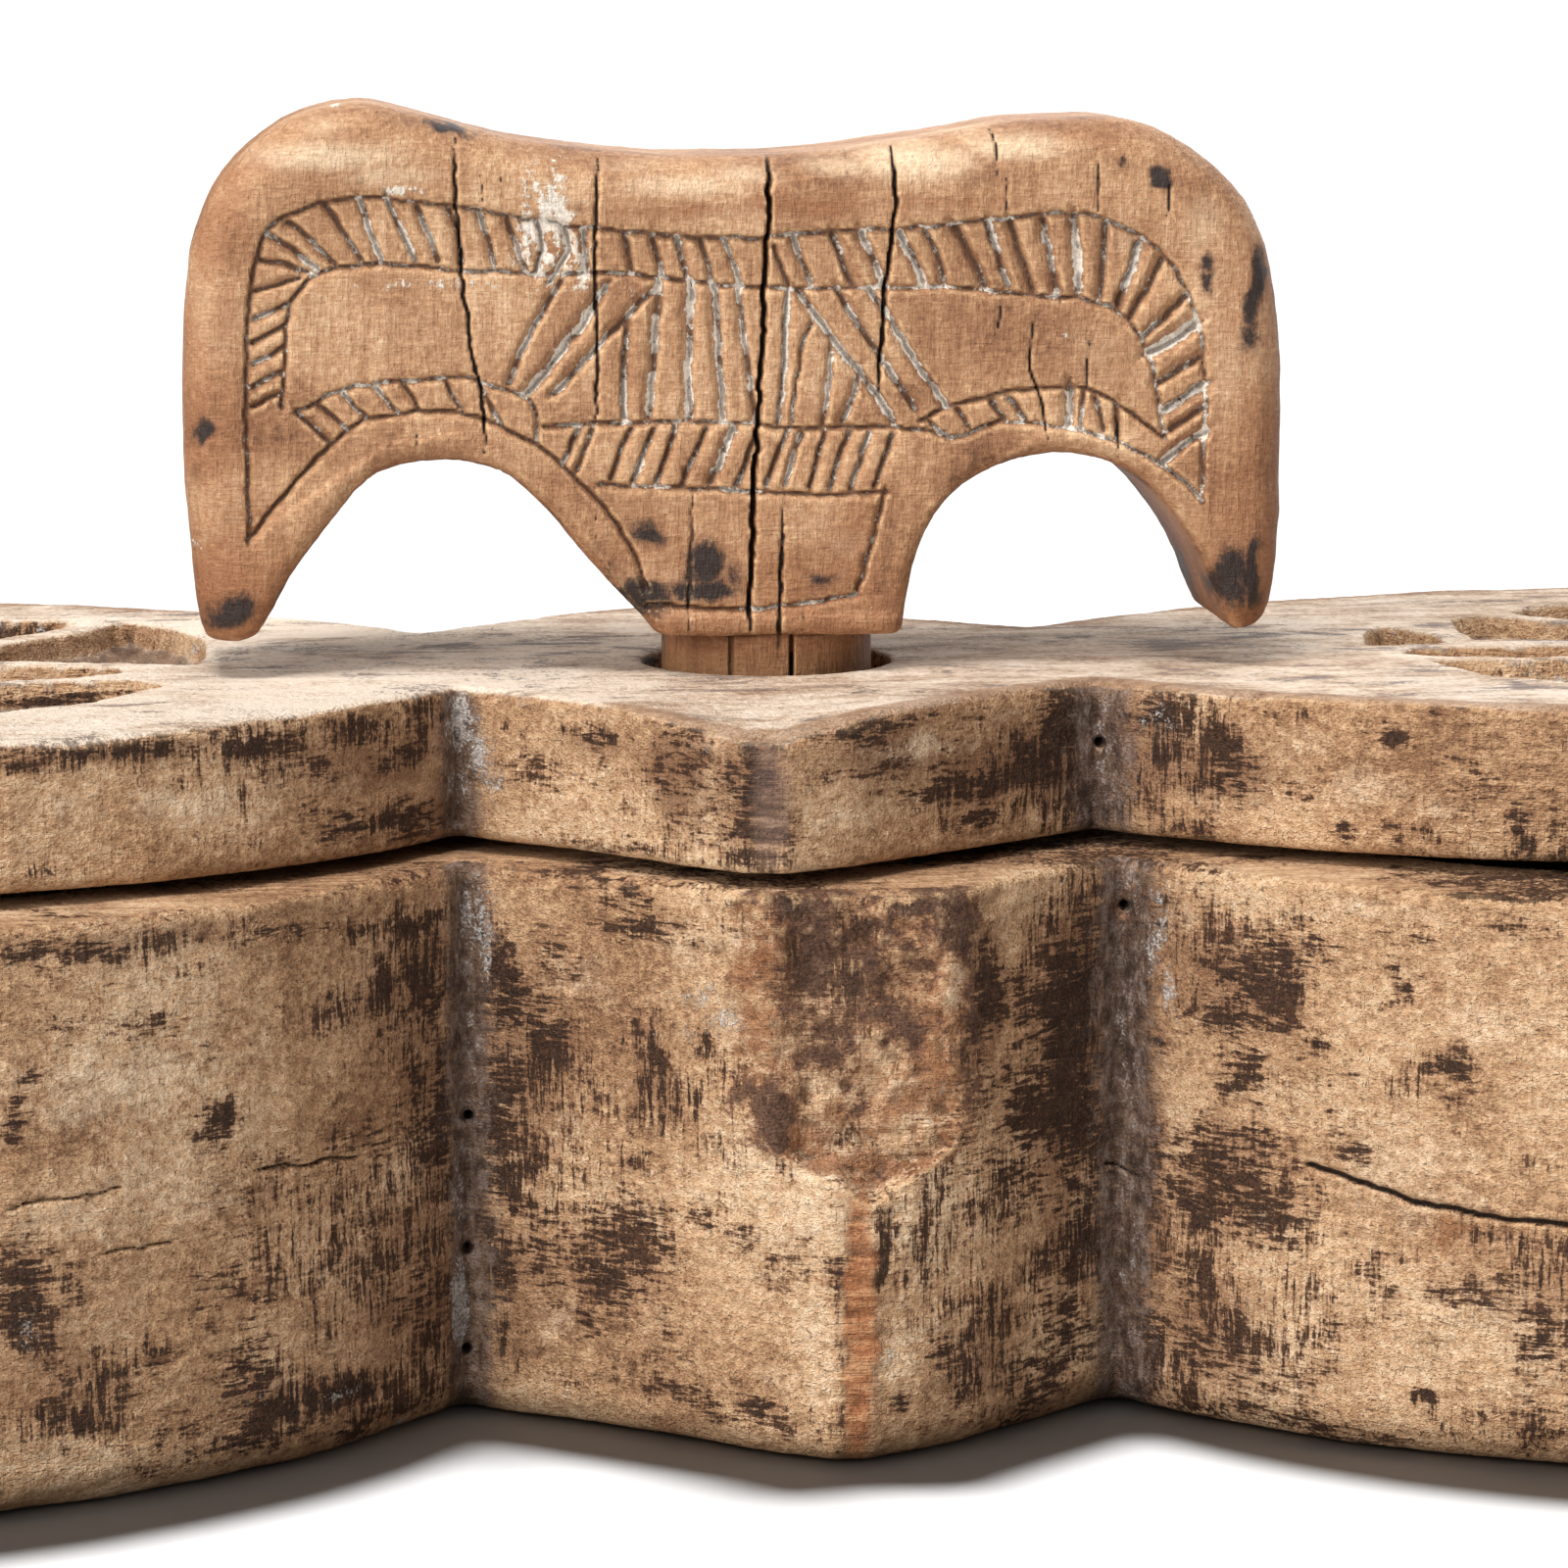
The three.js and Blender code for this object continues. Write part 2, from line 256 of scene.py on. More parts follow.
# ---- carved pattern and weathering, all in millimetres -----------------------------------------------
# Knife cuts of the handle's front: (kind, width, how much pale fill, [x, z] points).
STROKES = [
    ('b', 1.0, 0.15, [[-75.5,123.7],[-75.4,127.3],[-75.6,130.4],[-75.7,136.6],[-75.6,142.8],[-75.5,149.0],[-75.3,155.2],[-74.8,160.1],[-74.1,163.4],[-73.3,166.2],[-72.2,168.2],[-70.6,169.5],[-68.2,170.5],[-64.5,171.8],[-61.4,172.3],[-57.1,172.5],[-53.4,171.9],[-49.7,171.7],[-46.1,171.2],[-42.4,170.6],[-38.0,169.8],[-33.7,169.1],[-30.0,168.4],[-25.7,167.9],[-21.3,167.4],[-16.4,167.0],[-12.0,166.7],[-7.1,166.6],[-1.9,166.5]]),
    ('b', 1.0, 0.2, [[-1.9,166.7],[-0.4,166.9],[5.5,167.2],[10.5,167.5],[16.8,167.7],[21.8,168.0],[26.8,168.5],[30.6,168.9],[34.4,169.4],[40.0,169.8],[45.1,169.6],[48.2,168.6],[52.0,166.6],[55.2,164.2],[57.8,161.1],[59.7,157.3],[61.0,153.6],[61.7,147.9],[62.0,141.6],[61.9,135.3],[61.5,128.2]]),
    ('b', 1.1, 0.45, [[-70.7,142.8],[-70.2,146.5],[-70.0,150.2],[-69.9,154.5],[-69.2,157.6],[-68.0,159.4],[-66.2,161.2],[-64.6,162.0],[-62.1,162.6],[-58.5,163.0],[-53.5,163.0],[-49.2,162.5],[-44.9,162.0],[-41.2,162.0],[-36.9,161.8],[-33.8,161.4],[-30.7,161.6],[-25.7,161.7],[-21.4,161.6],[-16.4,160.9],[-12.1,160.4],[-7.1,159.8],[-2.0,159.4]]),
    ('b', 1.0, 0.1, [[-2.0,159.5],[3.0,159.3],[8.1,159.3],[13.1,159.4],[16.8,159.4],[24.4,159.4],[30.6,158.8],[37.0,158.1],[43.3,157.6],[48.0,156.5],[50.9,154.3],[52.8,151.1],[54.3,148.0],[54.9,144.2],[56.1,137.3]]),
    ('h', 1.3, 0.2, [[-73.3,163.9],[-68.9,162.9],[-66.3,162.0]]),
    ('h', 1.3, 0.2, [[-74.0,159.2],[-70.8,160.0],[-67.7,161.0]]),
    ('h', 1.3, 0.2, [[-74.3,155.6],[-69.5,157.6]]),
    ('h', 1.3, 0.2, [[-74.6,152.1],[-69.9,154.7]]),
    ('h', 1.3, 0.2, [[-74.6,149.0],[-70.2,151.6]]),
    ('h', 1.3, 0.2, [[-74.7,145.8],[-70.5,148.2]]),
    ('h', 1.3, 0.2, [[-74.6,142.8],[-70.7,144.7]]),
    ('h', 1.5, 0.4, [[-71.6,167.2],[-68.3,164.9],[-65.2,162.5]]),
    ('h', 1.5, 0.5, [[-69.1,169.1],[-67.5,167.9],[-62.6,163.1]]),
    ('h', 1.5, 0.35, [[-64.0,171.7],[-61.3,167.5],[-58.9,163.5]]),
    ('h', 1.5, 0.8, [[-59.1,172.1],[-57.8,168.6],[-56.1,163.3]]),
    ('h', 1.5, 0.85, [[-55.6,172.2],[-53.8,168.2],[-51.6,163.4]]),
    ('h', 1.5, 0.6, [[-51.1,171.3],[-49.5,167.6],[-48.1,163.5]]),
    ('h', 1.5, 0.35, [[-46.7,171.0],[-45.3,167.3],[-44.8,163.0]]),
    ('h', 1.5, 0.6, [[-42.2,170.3],[-41.0,166.6],[-40.0,162.6]]),
    ('h', 1.5, 0.75, [[-38.4,169.6],[-36.8,165.4],[-35.8,162.2]]),
    ('h', 1.5, 1, [[-34.0,168.9],[-33.4,165.4],[-34.4,161.7]]),
    ('h', 1.5, 0.9, [[-29.9,168.1],[-29.5,164.7],[-32.2,160.1]]),
    ('h', 1.5, 0.3, [[-27.4,167.7],[-27.3,164.7],[-26.8,161.9]]),
    ('h', 1.5, 0.2, [[-21.7,167.3],[-21.1,164.7],[-20.6,161.7]]),
    ('h', 1.5, 0.4, [[-17.6,166.8],[-16.9,164.0],[-16.3,161.2]]),
    ('h', 1.5, 0.6, [[-14.4,166.4],[-13.6,162.8],[-12.9,160.8]]),
    ('h', 1.5, 0.4, [[-10.8,166.3],[-9.9,162.8],[-9.1,160.4]]),
    ('h', 1.5, 0.4, [[-7.4,166.3],[-6.1,162.7],[-5.2,159.9]]),
    ('h', 1.3, 0.1, [[-0.4,165.2],[0.7,162.1],[1.8,159.9]]),
    ('h', 1.6, 0.7, [[2.3,166.7],[3.5,163.6],[5.0,159.9]]),
    ('h', 2.0, 0.3, [[7.7,166.7],[9.0,163.6],[10.6,159.8]]),
    ('h', 2.2, 0.8, [[12.3,167.0],[13.8,163.9],[15.4,159.8]]),
    ('h', 2.0, 1, [[17.7,167.2],[19.6,163.5],[21.2,160.1]]),
    ('h', 1.6, 0.4, [[21.3,167.4],[23.0,163.8],[24.2,160.1]]),
    ('h', 2.6, 0.15, [[25.7,167.8],[27.8,163.8],[30.0,159.7]]),
    ('h', 1.8, 0.2, [[30.0,168.2],[31.4,164.1],[32.8,159.7]]),
    ('h', 2.2, 0.1, [[33.6,168.6],[35.0,164.0],[36.8,158.7]]),
    ('h', 2.0, 0.8, [[38.3,168.8],[39.3,164.3],[40.4,158.7]]),
    ('h', 2.2, 0.95, [[42.9,169.2],[43.3,164.3],[43.6,158.4]]),
    ('h', 1.8, 0.8, [[47.5,168.1],[47.1,163.7],[46.7,157.7]]),
    ('h', 2.2, 0.95, [[51.7,165.2],[50.5,161.1],[49.0,156.8]]),
    ('h', 2.0, 0.4, [[55.4,162.9],[53.4,158.6],[51.0,154.6]]),
    ('h', 1.8, 0.5, [[59.1,157.7],[56.3,154.9],[52.9,151.7]]),
    ('h', 3.0, 1, [[60.3,153.1],[57.3,151.1],[54.1,149.5]]),
    ('h', 1.8, 0.4, [[61.0,148.6],[57.9,147.0],[55.1,145.1]]),
    ('h', 2.2, 0.9, [[61.5,145.1],[58.6,143.2],[56.1,141.7]]),
    ('h', 1.6, 0.3, [[61.8,141.6],[59.3,139.8],[56.9,138.4]]),
    ('h', 2.0, 0.9, [[61.9,138.0],[59.3,136.3],[56.2,133.8]]),
    ('b', 1.0, 0.15, [[-68.6,142.3],[-66.4,143.3],[-63.6,144.7],[-59.9,145.9],[-56.8,146.2],[-52.5,146.6],[-48.8,146.9],[-44.4,147.0],[-41.9,146.2],[-39.5,145.5],[-37.0,144.6],[-35.1,143.6],[-34.2,140.6],[-34.3,137.5]]),
    ('b', 1.1, 0.1, [[-75.3,124.2],[-73.1,127.3],[-70.6,130.3],[-67.4,134.0],[-64.0,137.4],[-61.8,139.1],[-58.7,141.4],[-55.0,141.7],[-51.3,142.3],[-46.3,142.1],[-42.6,141.3],[-38.3,139.4],[-34.6,137.5],[-30.9,134.6],[-27.8,131.5],[-25.3,128.9],[-22.8,125.5],[-20.3,121.1],[-18.8,116.3]]),
    ('h', 1.3, 0.5, [[-68.3,141.8],[-66.1,139.9],[-63.8,137.7]]),
    ('h', 1.3, 0.2, [[-65.2,143.2],[-63.0,141.3],[-61.1,139.6]]),
    ('h', 1.3, 0.7, [[-61.8,144.7],[-60.2,143.0],[-58.4,141.5]]),
    ('h', 1.3, 0.5, [[-57.1,145.7],[-55.7,143.9],[-54.1,142.1]]),
    ('h', 1.3, 0.1, [[-53.1,146.2],[-51.9,144.2],[-51.0,142.6]]),
    ('h', 1.3, 0.1, [[-47.5,146.6],[-46.5,144.5],[-45.4,142.5]]),
    ('h', 1.3, 0.4, [[-42.0,145.6],[-41.0,143.1],[-39.4,140.3]]),
    ('b', 1.0, 0.2, [[20.7,140.2],[24.4,142.3],[29.5,143.5],[34.5,144.6],[40.2,144.8],[43.4,144.9],[46.6,144.0],[50.4,141.7],[52.9,139.8],[56.1,137.4]]),
    ('b', 1.0, 0.1, [[18.1,139.2],[21.9,138.8],[25.0,137.6],[27.0,138.0],[29.5,139.3],[32.0,140.1],[37.1,139.8],[41.5,139.1],[45.3,138.3],[49.8,136.7],[53.6,134.8],[56.2,133.2],[59.4,130.9],[61.7,128.2]]),
    ('h', 1.4, 0.5, [[26.0,141.9],[27.0,140.5],[27.7,139.3]]),
    ('h', 1.8, 0.5, [[30.7,142.8],[31.5,141.4],[32.5,140.3]]),
    ('h', 1.6, 0.4, [[33.6,143.3],[34.7,141.9],[35.7,140.5]]),
    ('h', 2.4, 0.6, [[42.6,144.4],[42.5,141.8],[42.4,139.4]]),
    ('h', 1.2, 0.1, [[44.3,144.3],[44.2,141.8],[44.1,139.0]]),
    ('h', 1.4, 0.5, [[46.2,143.1],[46.7,140.8],[47.2,138.6]]),
    ('h', 1.6, 0.5, [[48.8,142.1],[49.0,139.9],[49.1,137.5]]),
    ('h', 1.2, 0.3, [[21.9,140.0],[23.2,139.0],[25.0,137.7]]),
    ('d', 1.5, 0.9, [[-30.7,160.3],[-32.6,157.3],[-34.4,154.1],[-36.5,149.9],[-38.2,145.9]]),
    ('d', 2.2, 1, [[-24.5,159.1],[-27.0,155.0],[-29.8,151.4],[-32.6,147.7],[-35.3,144.5]]),
    ('d', 1.7, 0.7, [[-17.3,159.1],[-19.5,157.1],[-21.9,154.8],[-25.2,151.4],[-28.3,147.9],[-31.7,144.3]]),
    ('v', 1.6, 0.8, [[-21.7,154.7],[-21.9,148.6],[-22.2,141.0]]),
    ('v', 1.9, 0.9, [[-16.7,160.2],[-17.0,154.7],[-17.6,148.5],[-18.3,140.9]]),
    ('v', 2.0, 0.9, [[-12.1,160.0],[-12.3,154.7],[-12.4,148.5],[-12.4,140.9]]),
    ('v', 1.8, 0.9, [[-8.8,159.8],[-8.4,154.7],[-8.0,148.5],[-7.7,140.7]]),
    ('v', 1.5, 0.5, [[-5.4,159.5],[-4.7,153.4],[-4.0,147.2],[-3.0,140.2]]),
    ('v', 1.5, 0.8, [[1.5,159.1],[1.0,153.4],[0.7,147.1],[0.1,140.0]]),
    ('v', 1.0, 0.1, [[5.1,154.6],[3.8,150.9],[2.8,145.9],[2.3,140.0]]),
    ('v', 1.4, 0.4, [[7.9,152.1],[7.9,148.3],[7.3,144.0],[6.8,139.9]]),
    ('d', 2.0, 0.85, [[3.2,159.0],[5.6,155.5],[8.4,151.5],[11.8,147.6],[14.4,143.9],[17.0,140.1]]),
    ('d', 1.6, 0.8, [[12.1,147.6],[11.3,144.6],[10.3,142.1],[9.5,140.1]]),
    ('d', 1.8, 0.7, [[8.2,158.9],[11.2,154.2],[14.7,149.2],[17.5,145.1],[19.5,142.0]]),
    ('d', 1.8, 0.8, [[13.4,159.0],[15.7,155.8],[18.1,151.7],[21.4,146.7],[24.6,142.5]]),
    ('b', 1.1, 0.2, [[-33.6,139.8],[-27.7,140.3],[-21.5,140.3],[-13.4,140.4],[-2.7,140.1]]),
    ('b', 1.1, 0.2, [[-2.7,139.8],[1.8,139.3],[7.5,139.4],[13.1,139.5],[18.1,139.4]]),
    ('h', 1.4, 0.2, [[-30.9,134.6],[-29.7,136.9],[-28.6,139.3]]),
    ('h', 1.4, 0.2, [[-28.7,133.4],[-27.4,136.5],[-26.5,139.3]]),
    ('h', 1.4, 0.4, [[-24.1,132.3],[-22.7,135.8],[-21.2,139.3]]),
    ('h', 1.4, 0.4, [[-20.9,131.8],[-19.3,135.8],[-17.9,139.3]]),
    ('h', 1.4, 0.6, [[-17.4,131.7],[-16.0,135.7],[-14.7,139.7]]),
    ('h', 1.4, 0.7, [[-13.9,131.3],[-12.1,135.4],[-10.4,139.4]]),
    ('h', 1.4, 0.6, [[-9.6,131.3],[-7.9,135.7],[-6.3,139.4]]),
    ('h', 1.4, 0.4, [[-6.2,130.9],[-4.7,134.4],[-3.5,137.8]]),
    ('h', 1.4, 0.5, [[-9.5,131.5],[-7.9,135.4],[-6.3,139.1]]),
    ('h', 1.4, 0.2, [[-5.9,131.1],[-4.5,134.7],[-3.2,138.3]]),
    ('h', 1.4, 0.6, [[-1.8,131.2],[-0.1,135.3],[1.5,138.9]]),
    ('h', 1.4, 0.4, [[1.3,131.0],[2.4,134.8],[3.6,138.5]]),
    ('h', 1.4, 0.3, [[4.6,130.8],[5.7,134.9],[6.7,138.8]]),
    ('h', 1.4, 0.3, [[7.5,130.7],[8.7,134.7],[10.0,138.6]]),
    ('h', 1.4, 0.2, [[10.4,130.5],[11.7,134.5],[13.0,138.4]]),
    ('h', 1.4, 0.5, [[13.9,130.9],[15.1,134.5],[16.3,138.1]]),
    ('b', 1.2, 0.3, [[-25.3,131.6],[-18.4,131.2],[-12.1,130.9],[-2.7,130.3]]),
    ('b', 1.2, 0.2, [[-3.2,130.3],[5.6,129.8],[11.9,129.9],[15.8,130.1]]),
    ('b', 1.1, 0.1, [[-18.4,114.2],[-9.0,113.5],[-2.7,113.4]]),
    ('b', 1.1, 0.2, [[-3.9,113.3],[3.1,114.1],[8.1,114.7],[11.4,115.3]]),
    ('b', 1.2, 0.4, [[15.8,130.1],[14.7,126.3],[13.8,122.9],[12.8,119.1],[11.6,115.3]]),
]
# Cracks of the handle: (width, [x, z] points).
CRACKS = [
    (1.1, [[-0.9,179.1],[-1.2,173.2],[-1.4,167.0],[-1.7,160.8],[-2.1,153.4],[-2.6,145.9],[-2.8,139.1],[-3.1,132.8],[-3.4,126.5],[-3.7,120.2],[-3.9,113.9],[-4.0,110.0]]),
    (0.6, [[1.0,125.5],[0.7,121.4],[0.4,117.0],[0.2,110.7],[0.2,104.4]]),
    (0.8, [[16.3,180.2],[16.8,175.6],[16.9,171.3],[16.5,166.9],[15.9,162.6],[15.4,157.0],[14.8,150.8],[14.5,143.9]]),
    (0.7, [[30.5,182.0],[31.2,179.2],[31.5,175.4]]),
    (0.5, [[32.9,174.6],[32.8,170.0]]),
    (0.45, [[45.6,179.2],[46.1,174.9],[46.0,169.9]]),
    (0.6, [[56.2,173.6],[56.0,169.2]]),
    (0.5, [[32.0,157.8],[31.6,151.9]]),
    (0.5, [[36.7,154.4],[36.4,147.5],[38.0,143.1],[39.3,136.8]]),
    (0.4, [[40.6,157.8],[40.5,151.8]]),
    (0.45, [[45.1,151.8],[44.6,144.3]]),
    (0.6, [[-45.8,181.3],[-45.8,176.5],[-45.7,171.6],[-45.1,167.3],[-44.9,161.1],[-44.0,154.9],[-43.5,149.4],[-42.3,145.0],[-42.0,141.3],[-41.7,136.0]]),
    (0.55, [[-25.6,179.0],[-25.8,171.5],[-26.0,162.2],[-25.9,153.6],[-25.5,148.6],[-26.1,139.9]]),
    (0.45, [[-39.1,176.8],[-38.9,173.4]]),
    (0.4, [[-42.3,175.9],[-42.0,170.9]]),
    (0.5, [[-51.6,139.8],[-51.5,137.0]]),
    (0.45, [[-61.2,138.7],[-61.1,135.5]]),
    (0.5, [[-25.8,127.1],[-26.4,123.0]]),
    (0.4, [[-12.1,130.7],[-12.4,123.5],[-12.6,117.2],[-12.8,110.1]]),
    (0.45, [[1.0,129.6],[0.7,122.1],[0.4,113.9],[0.1,104.4]]),
    (0.4, [[-17.8,113.3],[-18.0,110.3]]),
    (0.3, [[-6.8,112.8],[-6.8,110.1]]),
    (0.3, [[-6.7,112.8],[-6.7,109.9]]),
    (0.3, [[-4.0,113.2],[-4.0,109.8]]),
    (0.35, [[3.6,113.5],[3.6,109.9]]),
    (0.5, [[49.1,142.4],[49.2,137.3],[49.3,133.9]]),
    (0.35, [[9.8,180.6],[9.9,177.5]]),
    (0.3, [[21.9,181.4],[22.1,178.4]]),
    (0.3, [[26.8,182.4],[26.8,180.8]]),
    (0.3, [[-58.9,175.6],[-58.8,172.3]]),
]
# Soft patches: (x, z, x radius, z radius, strength, turn in degrees); the lid top's are x, y.
HDARK = [(-82.0, 139.7, 1.0, 1.8, 1.0, 8), (-82.3, 133.4, 0.6, 2.5, 0.5, 0), (-78.1, 113.4, 3.0, 1.8, 1.0, -15), (-81.4, 111.8, 1.9, 0.8, 0.7, 0), (66.0, 117.1, 2.2, 3.7, 1.0, 0), (69.4, 117.8, 1.1, 4.3, 1.0, 0), (61.2, 120.0, 1.4, 2.0, 0.5, 0), (69.1, 158.0, 1.0, 4.8, 1.0, 2), (68.9, 151.7, 1.3, 1.7, 0.8, 0), (-10.5, 119.7, 2.0, 2.5, 1.0, 5), (-10.2, 115.7, 3.8, 1.1, 1.0, 0), (-18.7, 124.4, 2.2, 1.0, 0.9, 20), (-20.3, 115.5, 3.7, 1.4, 1.0, 8), (-19.6, 113.8, 2.0, 1.4, 0.9, 0), (-6.0, 117.6, 1.7, 1.3, 0.7, 0), (-13.3, 116.6, 1.7, 1.1, 0.6, 0), (6.4, 117.5, 2.3, 1.0, 0.8, 0), (5.7, 116.4, 3.7, 1.1, 0.5, 0), (15.6, 119.1, 1.1, 8.5, 0.55, 0), (54.6, 174.6, 1.3, 0.7, 1.0, 0), (62.2, 162.9, 1.1, 1.1, 0.9, 0), (62.3, 160.3, 0.9, 1.8, 0.8, 0), (-47.0, 182.1, 3.3, 0.5, 0.9, 8), (-40.8, 181.6, 4.1, 0.4, 0.6, 0), (-25.6, 179.4, 6.2, 0.5, 0.5, 0), (-6.9, 179.0, 3.6, 0.6, 0.5, 0), (44.2, 183.5, 2.8, 0.7, 0.6, 0), (49.6, 176.3, 0.8, 1.0, 0.8, 0), (28.8, 174.6, 3.7, 0.8, 0.5, 0), (59.1, 177.7, 1.7, 0.6, 0.5, 40), (-28.4, 170.4, 0.8, 1.1, 0.5, 0), (-30.4, 180.8, 1.9, 0.4, 0.4, 0), (67.4, 141.2, 0.9, 8.5, 0.35, 0), (-3.4, 108.0, 8.5, 0.7, 0.3, 0), (-21.7, 111.0, 1.7, 0.7, 0.5, 0), (-25.9, 122.4, 1.4, 2.3, 0.5, 45), (-23.8, 118.8, 1.7, 2.0, 0.6, 45), (-82.2, 118.8, 0.8, 4.2, 0.3, 0)]
HBROWN = [(-52.0, 167.1, 16.6, 1.2, 0.25, 0), (-14.5, 170.4, 16.7, 1.4, 0.7, 0), (-32.5, 175.3, 5.5, 2.2, 0.3, 0), (3.6, 170.7, 14.0, 1.7, 0.8, 0), (21.8, 171.6, 15.5, 1.4, 0.7, 0), (37.3, 172.2, 8.5, 1.4, 0.4, 0), (-40.8, 182.2, 8.3, 2.2, 0.4, 0), (9.2, 171.6, 8.4, 1.9, 0.6, 0), (-72.4, 176.8, 6.9, 4.1, 0.35, 0), (-79.6, 154.9, 3.4, 15.2, 0.45, 0), (31.7, 154.1, 5.7, 7.0, 0.35, 0), (23.3, 157.0, 4.2, 8.4, 0.3, 0), (-20.2, 144.7, 5.6, 8.4, 0.35, 0), (-13.2, 158.6, 8.4, 8.3, 0.3, 0), (5.0, 147.3, 8.4, 7.0, 0.45, 0), (-14.7, 127.9, 8.4, 2.8, 0.4, 0), (12.1, 127.6, 4.2, 8.5, 0.6, 0), (-78.9, 117.4, 4.2, 5.6, 0.7, 0), (53.3, 124.3, 4.3, 7.1, 0.5, 0), (45.7, 179.1, 8.5, 2.8, 0.4, 0), (52.1, 166.5, 7.1, 3.1, 0.5, 35), (47.1, 172.1, 8.5, 1.1, 0.5, 0), (57.4, 138.4, 2.1, 11.3, 0.4, 0), (-32.9, 128.1, 4.2, 8.4, 0.5, 45), (-43.9, 138.0, 11.1, 2.0, 0.4, 0)]
HCREAM = [(-64.2, 178.2, 11.0, 2.2, 0.8, 0), (-54.6, 175.4, 8.3, 1.9, 0.6, 0), (-13.1, 173.8, 9.7, 1.9, 0.7, 0), (19.0, 177.1, 9.8, 2.8, 0.9, 0), (34.4, 179.1, 8.4, 2.2, 0.8, 0), (-64.2, 182.3, 5.5, 1.9, 0.5, 0), (-21.5, 176.6, 8.3, 1.4, 0.5, 0), (-4.8, 175.2, 7.0, 1.7, 0.6, 0), (9.2, 176.5, 7.0, 1.7, 0.7, 0), (50.0, 165.2, 4.2, 2.8, 0.4, 0), (61.3, 167.9, 4.3, 5.6, 0.5, 0), (64.5, 144.0, 3.6, 11.3, 0.4, 0), (44.5, 149.8, 7.1, 7.0, 0.35, 0), (-52.1, 153.3, 13.9, 6.9, 0.3, 0), (-61.7, 156.1, 5.5, 8.3, 0.25, 0), (-75.8, 134.1, 5.5, 8.4, 0.25, 0), (7.9, 122.0, 8.5, 2.8, 0.3, 0), (62.6, 177.6, 4.3, 2.8, 0.4, 0)]
HLIME = [(-32.6, 167.7, 3.9, 7.6, 0.9, 0), (-35.9, 170.5, 1.4, 3.0, 0.6, 0), (-28.5, 162.8, 2.2, 4.2, 0.7, 0), (-23.6, 158.7, 2.8, 1.4, 0.4, 0), (-47.9, 160.2, 8.3, 1.0, 0.5, 0), (-53.3, 173.3, 2.8, 0.7, 0.7, 0), (-64.1, 185.7, 1.9, 0.4, 0.8, 0), (-43.6, 170.5, 4.1, 0.7, 0.5, 0), (-62.1, 185.3, 2.7, 0.4, 0.6, 0), (44.1, 151.9, 2.8, 0.8, 0.5, 0), (-82.9, 123.6, 0.7, 1.1, 0.7, 0), (-51.0, 128.3, 0.4, 0.4, 0.3, 0)]
LDARK = [(-100.9, 100.9, 7.8, 1.2, 0.7, 0), (-106.3, 99.3, 3.1, 1.2, 0.6, 0), (-92.0, 100.5, 5.3, 1.0, 0.7, 0), (-74.4, 100.1, 3.6, 1.4, 0.8, 0), (-79.6, 102.5, 4.1, 0.8, 0.5, 0), (-60.7, 99.7, 3.7, 2.0, 0.9, 0), (-55.9, 95.7, 4.1, 1.4, 0.6, 0), (-58.1, 86.1, 6.4, 1.8, 0.8, 0), (-51.8, 100.5, 2.9, 2.6, 0.6, 0), (-65.6, 89.3, 4.0, 1.4, 0.5, 0), (-69.7, 95.3, 3.4, 1.4, 0.35, 0), (-39.4, 98.9, 2.6, 0.8, 0.4, 0), (-29.0, 98.9, 3.6, 1.0, 0.7, 0), (-34.2, 91.3, 5.4, 2.8, 0.4, 0), (-23.8, 94.1, 5.1, 2.8, 0.35, 0), (-16.3, 101.7, 2.5, 1.4, 0.4, 0), (-7.4, 94.1, 2.4, 3.8, 0.9, 0), (-6.6, 87.7, 3.4, 1.6, 0.95, 0), (-7.4, 83.7, 2.8, 1.4, 0.7, 0), (-3.3, 103.3, 4.1, 0.4, 0.8, 0), (5.5, 101.3, 5.1, 2.0, 0.95, 0), (9.6, 94.9, 7.4, 1.6, 0.5, 0), (13.1, 102.5, 3.5, 1.0, 0.5, 0), (19.9, 92.1, 10.6, 1.2, 0.6, -3), (30.9, 91.3, 9.4, 1.6, 0.75, -3), (26.3, 86.9, 9.2, 1.0, 0.5, 0), (39.3, 98.1, 3.9, 5.0, 0.85, 0), (35.4, 94.1, 7.8, 2.8, 0.6, 0), (41.9, 86.5, 3.1, 2.8, 0.7, 0), (54.0, 100.1, 5.5, 2.6, 0.8, 0), (51.4, 94.1, 3.7, 2.0, 0.6, 0), (60.2, 96.5, 2.9, 2.8, 0.8, 0), (59.4, 90.5, 7.6, 1.4, 0.6, 0), (48.7, 85.3, 3.8, 2.2, 0.7, 0), (56.7, 83.3, 4.9, 1.2, 0.4, 0), (82.8, 99.7, 1.5, 1.8, 0.9, 0), (79.4, 100.9, 2.5, 1.0, 0.5, 0), (77.7, 86.1, 1.5, 1.4, 0.9, 0), (84.9, 85.7, 3.2, 1.2, 0.5, 0), (98.6, 85.7, 1.3, 3.0, 0.85, 0), (102.6, 82.5, 3.1, 0.8, 0.7, 0), (68.4, 101.3, 2.1, 1.0, 0.6, 0), (72.0, 91.7, 2.0, 2.8, 0.35, 0), (92.4, 92.9, 2.4, 2.8, 0.4, 0), (103.5, 98.9, 2.0, 1.8, 0.5, 0), (-89.9, 86.5, 10.4, 1.0, 0.35, 0), (-101.4, 84.9, 7.6, 0.8, 0.5, 0), (-76.8, 86.5, 8.1, 0.8, 0.4, 0), (-22.4, 83.3, 7.7, 0.8, 0.5, 0), (-13.6, 85.7, 3.8, 1.0, 0.4, 0)]
